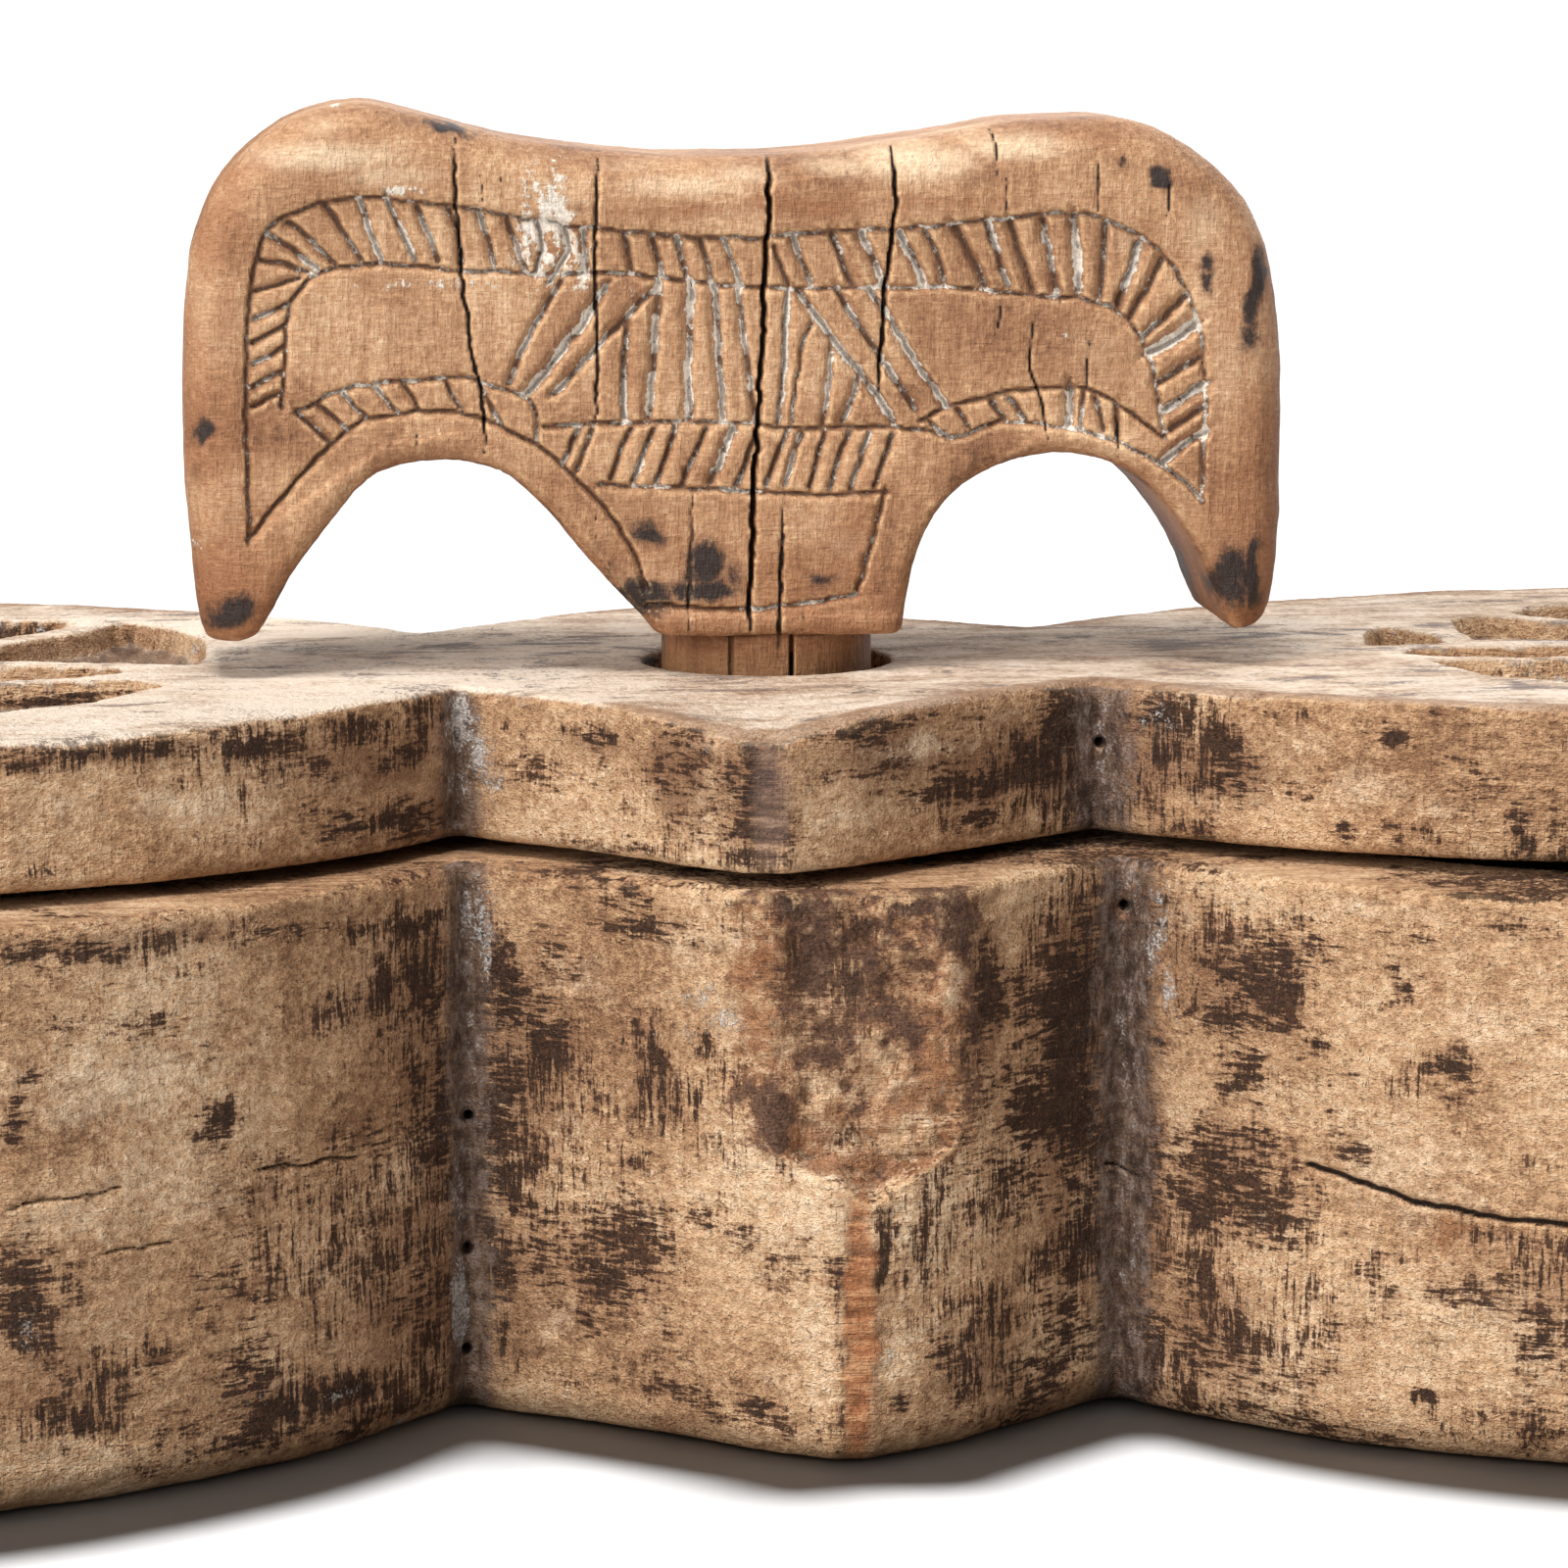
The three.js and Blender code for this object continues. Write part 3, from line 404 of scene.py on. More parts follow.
LBROWN = [(33.8, 92.9, 12.2, 4.2, 0.7, 0), (10.9, 97.3, 8.8, 4.0, 0.5, 0), (-16.3, 94.9, 3.8, 5.4, 0.7, 0), (-7.4, 94.5, 4.3, 8.2, 0.6, 0), (49.6, 95.3, 7.7, 5.6, 0.7, 0), (-55.9, 94.5, 8.4, 4.0, 0.5, 0), (-71.2, 98.1, 8.2, 2.8, 0.35, 0), (58.4, 93.3, 7.4, 4.2, 0.6, 0), (44.9, 88.9, 2.8, 5.6, 0.6, 0), (-48.9, 87.7, 4.3, 4.2, 0.5, 0), (-96.0, 99.7, 14.1, 1.6, 0.4, 0), (-28.7, 97.3, 7.7, 2.8, 0.35, 0)]
LCREAM = [(-83.0, 92.5, 11.7, 3.4, 0.5, 0), (-34.2, 84.1, 7.9, 2.2, 0.4, 0), (19.9, 98.1, 10.6, 2.2, 0.6, 0), (79.8, 92.1, 7.6, 3.4, 0.4, 0), (92.4, 88.9, 7.7, 2.8, 0.4, 0), (-101.4, 92.9, 7.8, 2.8, 0.4, 0), (-23.8, 102.1, 5.1, 1.2, 0.4, 0), (27.6, 100.9, 7.8, 1.4, 0.5, 0), (-65.6, 93.3, 4.0, 1.6, 0.3, 0), (6.6, 88.5, 8.8, 1.8, 0.4, 0), (70.8, 97.3, 5.0, 2.8, 0.35, 0)]
LLIME = [(-45.9, 98.9, 1.8, 4.2, 0.9, 0), (-43.4, 94.5, 1.5, 4.8, 0.8, 0), (-46.2, 89.7, 1.7, 4.2, 0.5, 0), (-41.9, 90.5, 2.0, 1.8, 0.6, 0), (-38.2, 102.1, 4.0, 0.8, 0.35, 0), (-13.0, 98.9, 2.7, 1.2, 0.5, 0), (-11.9, 102.9, 1.9, 0.6, 0.4, 0), (45.2, 94.5, 1.4, 7.0, 0.45, 0), (52.1, 98.9, 3.6, 2.2, 0.5, 0), (55.6, 103.3, 3.7, 0.4, 0.4, 0), (-16.0, 103.3, 2.5, 0.4, 0.3, 0), (3.7, 103.3, 4.3, 0.4, 0.3, 0), (-100.9, 103.3, 6.3, 0.4, 0.35, 0), (91.1, 93.7, 1.8, 1.0, 0.3, 0), (-30.8, 92.9, 1.8, 0.6, 0.4, 0)]
BDARK = [(-56.7, 73.6, 8.3, 1.2, 0.7, 0), (-70.3, 74.8, 8.1, 1.2, 0.6, 0), (-85.8, 76.4, 7.7, 1.2, 0.55, 0), (-94.9, 76.4, 6.4, 1.0, 0.6, 0), (-103.8, 77.6, 3.8, 1.0, 0.5, 0), (-77.0, 72.0, 9.1, 1.4, 0.4, 0), (-53.8, 64.0, 7.0, 5.0, 0.7, 0), (-63.5, 63.2, 6.8, 2.6, 0.5, 0), (-88.8, 66.0, 6.5, 1.4, 0.4, 0), (-98.9, 66.0, 5.1, 1.0, 0.35, 0), (-80.3, 50.4, 2.1, 2.4, 0.95, 0), (-82.4, 49.2, 2.9, 0.8, 0.6, 0), (-106.0, 56.4, 1.6, 4.0, 0.95, 0), (-104.2, 60.0, 2.4, 1.6, 0.5, 0), (-106.0, 29.6, 3.3, 6.6, 0.85, 0), (-99.8, 31.6, 4.2, 3.6, 0.5, 0), (-102.4, 12.4, 7.5, 3.6, 0.8, 0), (-95.8, 18.8, 6.4, 3.4, 0.5, 0), (-89.7, 9.6, 8.0, 2.2, 0.6, 0), (-77.0, 15.6, 5.3, 3.6, 0.7, 0), (-72.6, 7.6, 6.7, 2.4, 0.9, 0), (-64.3, 8.8, 6.8, 2.8, 0.9, 0), (-57.3, 4.8, 7.0, 2.0, 0.8, 0), (-77.8, 5.2, 4.1, 1.4, 0.9, 0), (-84.5, 4.8, 7.8, 1.8, 0.6, 0), (-57.0, 25.6, 8.4, 12.6, 0.55, 0), (-52.6, 44.0, 4.8, 14.0, 0.6, 0), (-61.1, 42.0, 8.2, 4.2, 0.4, 0), (-51.4, 12.8, 4.2, 8.4, 0.7, 0), (-66.8, 26.8, 3.9, 8.2, 0.3, 0), (-70.7, 41.6, 8.1, 5.6, 0.25, 0), (-76.2, 30.4, 4.0, 8.2, 0.3, 0), (-40.0, 61.2, 2.7, 7.8, 0.9, 0), (-42.0, 69.2, 1.8, 5.6, 0.6, 0), (-36.7, 56.0, 3.3, 7.0, 0.7, 0), (-41.3, 45.6, 2.3, 8.6, 0.8, 0), (-38.7, 36.0, 4.5, 5.6, 0.6, 0), (-41.7, 22.8, 2.2, 7.2, 0.6, 0), (-35.0, 28.0, 3.5, 8.4, 0.6, 0), (-40.3, 10.0, 3.5, 4.4, 0.5, 0), (-23.7, 78.0, 2.2, 1.8, 0.95, 0), (-22.3, 72.8, 3.5, 2.0, 0.8, 0), (-26.7, 73.6, 2.0, 1.0, 0.7, 0), (-19.1, 76.8, 1.8, 1.2, 0.6, 0), (-32.7, 66.8, 2.7, 4.2, 0.5, 0), (-29.3, 48.4, 4.8, 7.0, 0.4, 0), (-20.4, 55.2, 2.8, 7.2, 0.85, 0), (-17.8, 48.8, 2.6, 4.6, 0.8, 0), (-23.0, 40.8, 5.3, 2.8, 0.5, 0), (-13.9, 58.8, 1.9, 4.0, 0.6, 0), (-11.3, 53.6, 2.5, 5.6, 0.5, 0), (-12.6, 42.4, 2.6, 2.8, 0.5, 0), (-27.0, 24.8, 4.7, 8.4, 0.75, 0), (-23.0, 29.6, 4.0, 4.2, 0.7, 0), (-29.7, 17.6, 4.0, 4.2, 0.5, 0), (-16.5, 33.6, 3.9, 2.2, 0.6, 0), (-8.9, 31.2, 2.4, 2.0, 0.8, 0), (-11.3, 35.6, 2.5, 2.0, 0.5, 0), (-3.6, 44.8, 1.8, 4.6, 0.6, 8), (-5.7, 50.0, 1.6, 4.2, 0.6, 0), (-5.0, 26.8, 2.5, 4.2, 0.45, 0), (-17.8, 16.4, 3.9, 5.6, 0.45, 0), (-16.5, 8.4, 6.5, 2.2, 0.6, 0), (-6.1, 7.2, 1.6, 2.0, 0.9, 0), (-1.1, 4.8, 2.5, 1.4, 0.7, 0), (-11.3, 5.2, 3.8, 1.4, 0.5, 0), (-32.3, 7.2, 5.3, 2.0, 0.5, 0), (-24.3, 9.6, 3.3, 3.8, 0.4, 0), (0.0, 72.0, 4.4, 6.6, 0.75, 0), (-1.8, 77.6, 3.9, 2.2, 0.7, 0), (5.3, 67.2, 3.6, 5.4, 0.6, 0), (15.1, 77.2, 5.0, 1.2, 0.95, 0), (9.3, 78.8, 2.8, 1.0, 0.7, 0), (6.5, 73.2, 2.2, 1.6, 0.7, 0), (22.2, 72.4, 2.4, 5.6, 0.8, 0), (24.6, 65.2, 3.4, 8.4, 0.8, 0), (21.9, 53.2, 2.3, 7.0, 0.6, 0), (2.5, 60.4, 5.3, 4.0, 0.45, 0), (13.6, 60.0, 2.9, 2.8, 0.4, 0), (15.9, 69.2, 2.6, 2.2, 0.5, 0), (10.1, 28.8, 1.0, 4.8, 0.9, 0), (3.3, 26.4, 1.0, 3.4, 0.6, 0), (12.0, 8.4, 1.6, 1.2, 0.9, 0), (4.9, 13.6, 0.6, 8.2, 0.4, 0), (15.9, 26.8, 1.6, 8.2, 0.35, 0), (18.0, 40.0, 2.7, 8.4, 0.3, 0), (31.6, 66.8, 3.8, 8.2, 0.55, 0), (37.4, 58.4, 6.4, 12.6, 0.8, 0), (33.4, 46.8, 6.4, 5.6, 0.75, 0), (28.8, 36.4, 5.5, 7.0, 0.6, 0), (39.8, 42.8, 4.3, 8.6, 0.8, 0), (40.7, 26.8, 3.8, 8.6, 0.85, 0), (33.7, 24.0, 4.7, 5.8, 0.6, 0), (24.3, 20.8, 4.5, 4.2, 0.5, 0), (24.3, 12.4, 4.5, 5.6, 0.6, 0), (33.7, 8.4, 4.9, 3.8, 0.6, 0), (40.1, 12.8, 4.3, 5.8, 0.7, 0), (30.7, 3.6, 6.4, 1.6, 0.6, 0), (18.3, 4.0, 3.6, 1.4, 0.5, 0), (42.8, 68.8, 2.4, 8.4, 0.7, 0), (44.1, 34.4, 2.0, 22.8, 0.6, 0), (49.0, 63.2, 1.6, 12.6, 0.6, 0), (48.8, 34.8, 2.0, 14.2, 0.75, 0), (50.8, 9.2, 2.9, 8.6, 0.75, 0), (49.3, 50.4, 1.6, 5.6, 0.7, 0), (57.9, 70.4, 3.0, 4.2, 0.5, 0), (63.8, 66.8, 6.0, 5.0, 0.75, 0), (59.2, 59.2, 4.8, 3.6, 0.6, 0), (69.8, 70.4, 3.1, 2.2, 0.5, 0), (67.5, 60.4, 3.0, 1.8, 0.6, 0), (61.7, 51.2, 3.2, 3.6, 0.6, 0), (71.3, 57.2, 1.4, 1.2, 0.95, 0), (80.9, 66.4, 1.4, 1.6, 0.9, 0), (76.5, 63.6, 2.0, 1.6, 0.5, 0), (86.4, 54.8, 2.5, 2.4, 0.95, 0), (88.0, 57.2, 1.7, 1.8, 0.8, 0), (58.9, 39.6, 5.3, 5.6, 0.8, 0), (57.2, 32.4, 4.8, 3.4, 0.8, 0), (66.8, 32.0, 5.4, 4.8, 0.7, 0), (63.1, 43.2, 3.6, 2.8, 0.6, 0), (56.2, 20.8, 4.1, 5.6, 0.7, 0), (62.0, 13.6, 6.0, 5.6, 0.6, 0), (54.9, 8.8, 3.1, 5.8, 0.7, 0), (69.4, 23.2, 4.8, 3.6, 0.4, 0), (72.9, 16.8, 4.3, 3.6, 0.35, 0), (82.6, 20.8, 5.0, 2.8, 0.3, 0), (90.2, 24.0, 6.2, 2.6, 0.6, 0), (97.5, 28.0, 5.0, 2.8, 0.6, 0), (99.2, 20.0, 3.5, 6.0, 0.85, 0), (97.0, 32.0, 6.3, 1.6, 0.6, 0), (77.7, 27.2, 3.6, 2.8, 0.4, 0), (84.3, 8.4, 1.9, 1.2, 0.9, 0), (78.1, 2.0, 3.6, 1.4, 0.5, 0), (92.7, 6.8, 4.9, 2.4, 0.5, 0), (100.1, 6.0, 2.8, 4.2, 0.8, 0), (69.4, 3.6, 6.1, 1.6, 0.6, 0), (59.9, 3.2, 6.1, 1.8, 0.6, 0), (95.3, 75.6, 2.8, 1.2, 0.5, 0), (83.0, 73.2, 2.1, 1.2, 0.4, 0), (74.9, 42.8, 1.8, 1.4, 0.5, 0), (100.5, 44.8, 2.4, 1.2, 0.4, 0)]
BBROWN = [(-53.8, 64.0, 9.8, 8.4, 0.5, 0), (-57.0, 24.4, 11.2, 15.4, 0.45, 0), (-51.1, 43.6, 5.8, 28.0, 0.5, 0), (-102.4, 22.4, 10.4, 13.4, 0.4, 0), (-73.8, 9.2, 13.5, 5.6, 0.5, 0), (-37.3, 53.2, 8.0, 17.0, 0.5, 0), (-39.0, 21.6, 6.7, 17.2, 0.4, 0), (-21.7, 52.4, 7.7, 11.0, 0.4, 0), (-25.7, 25.2, 7.9, 8.4, 0.4, 0), (-5.0, 43.2, 4.0, 7.0, 0.3, 0), (0.0, 72.4, 7.8, 8.0, 0.6, 0), (24.0, 62.8, 4.6, 15.0, 0.6, 0), (6.9, 60.4, 12.2, 8.2, 0.35, 0), (38.3, 50.0, 7.9, 28.2, 0.6, 0), (48.8, 41.6, 3.2, 37.0, 0.7, 0), (60.3, 63.6, 9.5, 8.4, 0.5, 0), (59.6, 36.8, 8.4, 11.2, 0.5, 0), (58.5, 12.8, 9.6, 10.0, 0.5, 0), (94.9, 23.6, 9.9, 8.4, 0.4, 0), (25.8, 12.0, 9.3, 8.4, 0.4, 0), (6.5, 18.0, 2.2, 18.6, 0.75, 0), (-45.3, 49.2, 2.8, 37.0, 0.5, 0), (-16.5, 8.4, 10.5, 4.2, 0.35, 0), (-89.7, 76.8, 20.6, 3.2, 0.4, 0)]
BCREAM = [(-94.0, 58.8, 15.4, 6.6, 0.5, 0), (-86.6, 41.6, 15.7, 8.0, 0.4, 0), (-77.0, 59.2, 7.9, 5.4, 0.4, 0), (-29.3, 65.2, 6.5, 4.2, 0.4, 0), (-30.7, 40.0, 5.2, 5.8, 0.35, 0), (-11.3, 72.8, 7.8, 3.2, 0.6, 0), (-8.9, 59.6, 3.8, 4.2, 0.4, 0), (4.1, 42.8, 5.4, 3.6, 0.9, 0), (16.6, 46.0, 4.4, 8.2, 0.5, 0), (-1.1, 34.0, 7.9, 5.6, 0.6, 0), (1.4, 18.0, 3.3, 11.0, 0.5, 0), (12.4, 17.2, 4.2, 9.8, 0.5, 0), (19.4, 66.0, 2.8, 5.6, 0.4, 0), (52.0, 73.6, 3.1, 5.6, 0.4, 0), (76.9, 76.8, 9.6, 2.2, 0.5, 0), (79.7, 42.8, 11.0, 6.8, 0.5, 0), (94.0, 63.2, 7.3, 8.2, 0.4, 0), (87.2, 35.2, 7.4, 4.2, 0.5, 0), (71.3, 48.8, 4.8, 3.6, 0.35, 0), (80.5, 12.4, 7.4, 4.2, 0.3, 0), (-17.8, 20.8, 5.2, 2.8, 0.3, 0), (-35.0, 16.4, 2.7, 5.8, 0.3, 0), (-3.6, 13.2, 5.2, 5.4, 0.4, 0), (-102.0, 41.2, 7.5, 5.2, 0.4, 0), (70.6, 9.2, 7.3, 2.8, 0.3, 0), (13.9, 33.6, 3.8, 5.4, 0.5, 0)]
BLIME = [(-45.3, 73.2, 1.4, 7.0, 0.6, 0), (-43.0, 70.0, 1.3, 6.2, 0.8, 0), (-47.0, 16.0, 1.2, 7.2, 0.9, 0), (-47.5, 32.8, 1.1, 5.8, 0.5, 0), (-45.3, 56.4, 1.1, 8.4, 0.4, 0), (-14.5, 64.4, 4.2, 1.8, 0.6, -5), (-10.6, 61.2, 3.2, 1.6, 0.6, 0), (-16.5, 59.2, 2.6, 1.4, 0.5, 0), (-7.5, 69.2, 2.5, 1.2, 0.4, 0), (50.8, 69.2, 1.5, 7.0, 0.6, 0), (52.7, 62.4, 1.2, 4.2, 0.6, 0), (47.6, 51.6, 1.0, 8.6, 0.5, 0), (47.3, 72.4, 1.0, 5.6, 0.5, 0), (47.9, 20.0, 0.7, 8.6, 0.4, 0), (18.7, 52.4, 1.8, 2.8, 0.4, 0), (-105.5, 25.6, 1.8, 2.8, 0.45, 0), (-64.3, 8.8, 3.1, 1.0, 0.6, 0), (-56.0, 2.0, 1.9, 1.0, 0.6, 0), (85.5, 6.0, 3.1, 1.6, 0.35, 0), (10.4, 15.6, 0.6, 2.0, 0.5, 0), (-76.6, 11.2, 2.6, 1.2, 0.4, 0), (64.5, 30.8, 1.5, 2.4, 0.35, 0), (-94.0, 63.6, 2.4, 0.6, 0.3, 0), (-19.1, 58.0, 1.6, 1.0, 0.4, 0), (69.8, 67.6, 1.7, 1.0, 0.3, 0)]
TGREY = [(-69.1, 8.4, 15.8, 8.8, 0.8, 0), (-42.6, 20.3, 17.5, 7.9, 0.9, 0), (-25.5, 13.0, 13.1, 11.2, 0.7, 0), (-56.8, 39.2, 8.9, 3.5, 0.7, 0), (-33.1, -18.6, 8.4, 6.2, 0.5, 0), (35.6, 30.1, 13.4, 5.8, 0.8, 0), (55.2, 10.8, 14.6, 7.8, 0.7, 0), (41.0, -15.3, 11.3, 5.2, 0.5, 0), (76.3, 20.2, 11.8, 9.2, 0.6, 0), (19.8, -13.3, 8.5, 5.3, 0.5, 0), (-21.2, -30.0, 8.3, 6.0, 0.5, 0), (-7.4, -46.2, 8.1, 4.8, 0.5, 0), (-89.7, -42.9, 8.1, 4.8, 0.6, 0), (-102.5, -22.0, 8.3, 5.1, 0.5, 0), (70.1, -28.7, 8.4, 5.1, 0.4, 0), (86.9, -30.3, 8.4, 6.1, 0.4, 0), (101.3, -42.0, 8.3, 5.9, 0.4, 0), (4.7, -47.4, 8.1, 5.8, 0.5, 0)]
TDARK = [(-69.0, 17.3, 7.3, 5.6, 0.6, 0), (-49.8, 26.8, 8.8, 5.7, 0.5, 0), (-77.7, 9.3, 4.3, 6.6, 0.6, 0), (-9.1, -65.0, 4.0, 4.6, 0.9, 0), (2.4, -68.9, 5.3, 4.5, 0.8, 0), (-21.2, -9.2, 2.3, 5.3, 0.5, 0), (10.4, -33.1, 2.8, 4.0, 0.4, 0), (46.4, -26.4, 4.2, 6.1, 0.6, 0), (55.9, -37.5, 5.5, 5.0, 0.5, 0), (-101.1, -65.1, 7.8, 4.5, 0.5, 0), (-52.9, -26.9, 4.1, 5.0, 0.5, 0)]
TCREAM = [(-28.1, -29.3, 16.5, 8.0, 0.5, 0), (-76.3, -24.6, 12.4, 6.1, 0.6, 0), (19.0, -53.6, 12.1, 5.7, 0.5, 0), (90.6, 1.6, 17.4, 8.8, 0.5, 0), (-64.2, 49.5, 6.0, 4.8, 0.6, 0), (33.8, -35.4, 8.3, 6.0, 0.4, 0)]
HOLES = [[45.2, -28.7, 94.9], [47.3, -40.5, 73.2], [-45.7, -34.5, 43.6], [-46.0, -34.3, 24.4], [-46.3, -34.7, 9.6]]
BCRACKS = [[[70.2, 40.0], [75.7, 38.8], [84.7, 36.4], [93.6, 35.2], [102.2, 34.8]], [[-75.8, 43.2], [-69.1, 42.8], [-61.8, 42.4]], [[-108.2, 42.8], [-102.0, 43.2], [-94.0, 43.6]], [[-96.2, 34.8], [-91.8, 35.2], [-87.1, 35.2]], [[44.7, 36.0], [48.8, 34.8]]]
MORE_CRACKS = [[(-60, 12), (-40, 14), (-30, 13)], [(52, 62), (70, 64)], [(20, 8), (38, 9)]]
# Gouged hollows of the lid.
ROSETTES = [
  [[-113, 8], [-97, 4.5], [-83, 1.5], [-81.5, 14], [-82.5, 30], [-87, 43], [-93, 51], [-97, 49], [-101, 41], [-110, 30], [-120, 18]],
  [[-101, 53], [-104, 45], [-113, 34], [-124, 23], [-133, 20], [-131, 38], [-124, 54], [-113, 56]],
  [[-94, -1], [-112, 2], [-125, 2.5], [-128, -4], [-122, -9], [-112, -13], [-100, -10], [-93, -6]],
  [[-87.5, -20], [-92, -13.5], [-101, -14], [-112, -17.5], [-122, -14], [-126, -24], [-121, -40], [-110, -43], [-97, -36]],
  [[-137, 20], [-146, 20], [-152, 36], [-153, 54], [-140, 59], [-129, 56], [-134, 38]],
  [[-150, 18], [-156, 12], [-176, 14], [-190, 24], [-184, 40], [-172, 50], [-158, 53], [-156, 36]],
  [[-156, 7], [-158, -2], [-175, -8], [-194, -8], [-199, 4], [-195, 19], [-178, 9]],
  [[-157, -7], [-150, -14], [-155, -32], [-165, -46], [-179, -43], [-189, -30], [-192, -13], [-174, -13]],
  [[-145, -17], [-136, -18], [-130, -24], [-126, -42], [-135, -50], [-148, -51], [-160, -47], [-150, -32]],
  [[90.5, 6], [104, 8.5], [104, 16], [100, 25], [97, 29], [92.5, 20]],
  [[108, 11], [124, 9.5], [131, 16], [126, 30], [116, 39], [110, 36], [108, 24]],
  [[96, 1.5], [112, 3], [126, 2], [127, -6], [114, -9.5], [101, -7.5], [93.5, -3]],
  [[96, -12], [110, -13], [125, -10.5], [129, -22], [124, -36], [112, -37], [101, -28]],
  [[134, 19], [143, 19], [150, 33], [152, 46], [140, 52], [125, 50], [121, 41], [130, 32]],
  [[148, 16], [155, 11], [174, 12], [188, 20], [183, 34], [170, 45], [157, 47], [154, 32]],
  [[156, 6], [157, -3], [174, -9], [192, -10], [197, 2], [194, 15], [176, 7]],
  [[155, -8], [149, -14], [152, -30], [162, -43], [176, -42], [187, -31], [190, -15], [172, -13]],
  [[143, -17], [135, -17], [130, -40], [137, -46], [148, -48], [157, -45], [148, -30]],
]

# ---- helpers on meshes -----------------------------------------------------------------------------


def curvature(V, Q, N, rounds=2):
    """Convex above 0, concave below, about -1 to 1, from how far each vertex stands off its neighbours."""
    n = len(V)
    e = np.concatenate([Q[:, [0, 1]], Q[:, [1, 2]], Q[:, [2, 3]], Q[:, [3, 0]]])
    e = np.concatenate([e, e[:, ::-1]])
    cnt = np.maximum(np.bincount(e[:, 0], minlength=n), 1)
    size = np.bincount(e[:, 0], weights=np.linalg.norm(V[e[:, 0]] - V[e[:, 1]], axis=1), minlength=n) / cnt
    mean = np.stack([np.bincount(e[:, 0], weights=V[e[:, 1], k], minlength=n) for k in range(3)], 1) / cnt[:, None]
    c = np.einsum("ij,ij->i", V - mean, N) / np.maximum(size, 1e-6)
    for _ in range(rounds):
        c = 0.5 * c + 0.5 * np.bincount(e[:, 0], weights=c[e[:, 1]], minlength=n) / cnt
    return np.clip(c * 6, -1, 1).astype(np.float32)


def spots(x, z, items, grow=1.0):
    """The strongest of several soft ellipses (x, z, rx, rz, strength, turn) at each point."""
    out = np.zeros(x.shape, np.float32)
    for cx, cz, rx, rz, s, rot in items:
        out = np.maximum(out, s * bell(x, z, cx, cz, rx * grow, rz * grow, -rot))
    return out


def sample(M, gx, gz, x, z):
    """Bilinear sample of a map on the grid gx, gz."""
    i = np.clip(np.searchsorted(gx, x) - 1, 0, len(gx) - 2)
    k = np.clip(np.searchsorted(gz, z) - 1, 0, len(gz) - 2)
    u = np.clip((x - gx[i]) / (gx[i + 1] - gx[i]), 0, 1)
    w = np.clip((z - gz[k]) / (gz[k + 1] - gz[k]), 0, 1)
    return (M[i, k] * (1 - u) + M[i + 1, k] * u) * (1 - w) + (M[i, k + 1] * (1 - u) + M[i + 1, k + 1] * u) * w


def cut(x, z, pts, steep, shallow, depth, side=1):
    """A knife cut along pts: a V with one steep wall and one long slope. Depth at each point."""
    out = np.zeros(x.shape, np.float32)
    for n, (a, b) in enumerate(zip(pts[:-1], pts[1:])):
        ex, ez = b[0] - a[0], b[1] - a[1]
        ln = math.hypot(ex, ez) or 1e-6
        wx, wz = x - a[0], z - a[1]
        t = np.clip((wx * ex + wz * ez) / (ln * ln), 0, 1)
        d = np.hypot(wx - ex * t, wz - ez * t)
        s = (wx * ez - wz * ex) * side
        w = np.where(s > 0, shallow, steep)
        out = np.maximum(out, depth * np.clip(1 - d / w, 0, 1))
    return out


# ---- handle and peg ---------------------------------------------------------------------------------
ZL = 104.2  # lid top
SHOULDER = 109.2
ARCH_L = [(-17.1, 109.2), (-21.0, 113.4), (-26.1, 119.0), (-30.5, 124.3), (-35.6, 130.1), (-39.4, 133.2), (-45.5, 134.8), (-52.5, 134.4), (-58.4, 132.4), (-64.8, 124.6), (-68.7, 119.3), (-71.3, 114.8), (-73.6, 110.6), (-75.6, 109.0)]
OUTER = [(-81.6, 109.0), (-82.9, 112.4), (-84.2, 123.6), (-84.9, 135.0), (-84.9, 150.8), (-83.9, 162.4), (-82.2, 168.7), (-79.6, 174.2), (-76.0, 178.6), (-71.0, 182.4), (-66.0, 184.8), (-60.9, 185.8), (-55.6, 185.5), (-49.0, 183.9), (-41.5, 181.6), (-31.5, 179.7), (-20.0, 178.5), (-8.0, 178.0), (3.0, 178.4), (17.0, 179.9), (27.0, 181.7), (35.0, 183.0), (43.0, 183.5), (50.3, 183.3), (56.2, 181.6), (62.5, 177.6), (67.7, 172.7), (71.0, 166.7), (72.7, 160.0), (73.8, 150.0), (74.2, 138.0), (74.1, 126.0), (73.5, 116.6), (72.4, 111.6), (70.4, 109.0)]
ARCH_R = [(66.0, 109.0), (64.0, 113.2), (61.8, 119.0), (59.0, 123.8), (56.0, 127.8), (52.1, 131.6), (47.5, 134.0), (41.5, 135.0), (35.5, 134.5), (30.7, 132.8), (26.0, 129.6), (22.3, 125.0), (20.2, 120.0), (19.1, 114.7), (18.2, 109.2)]


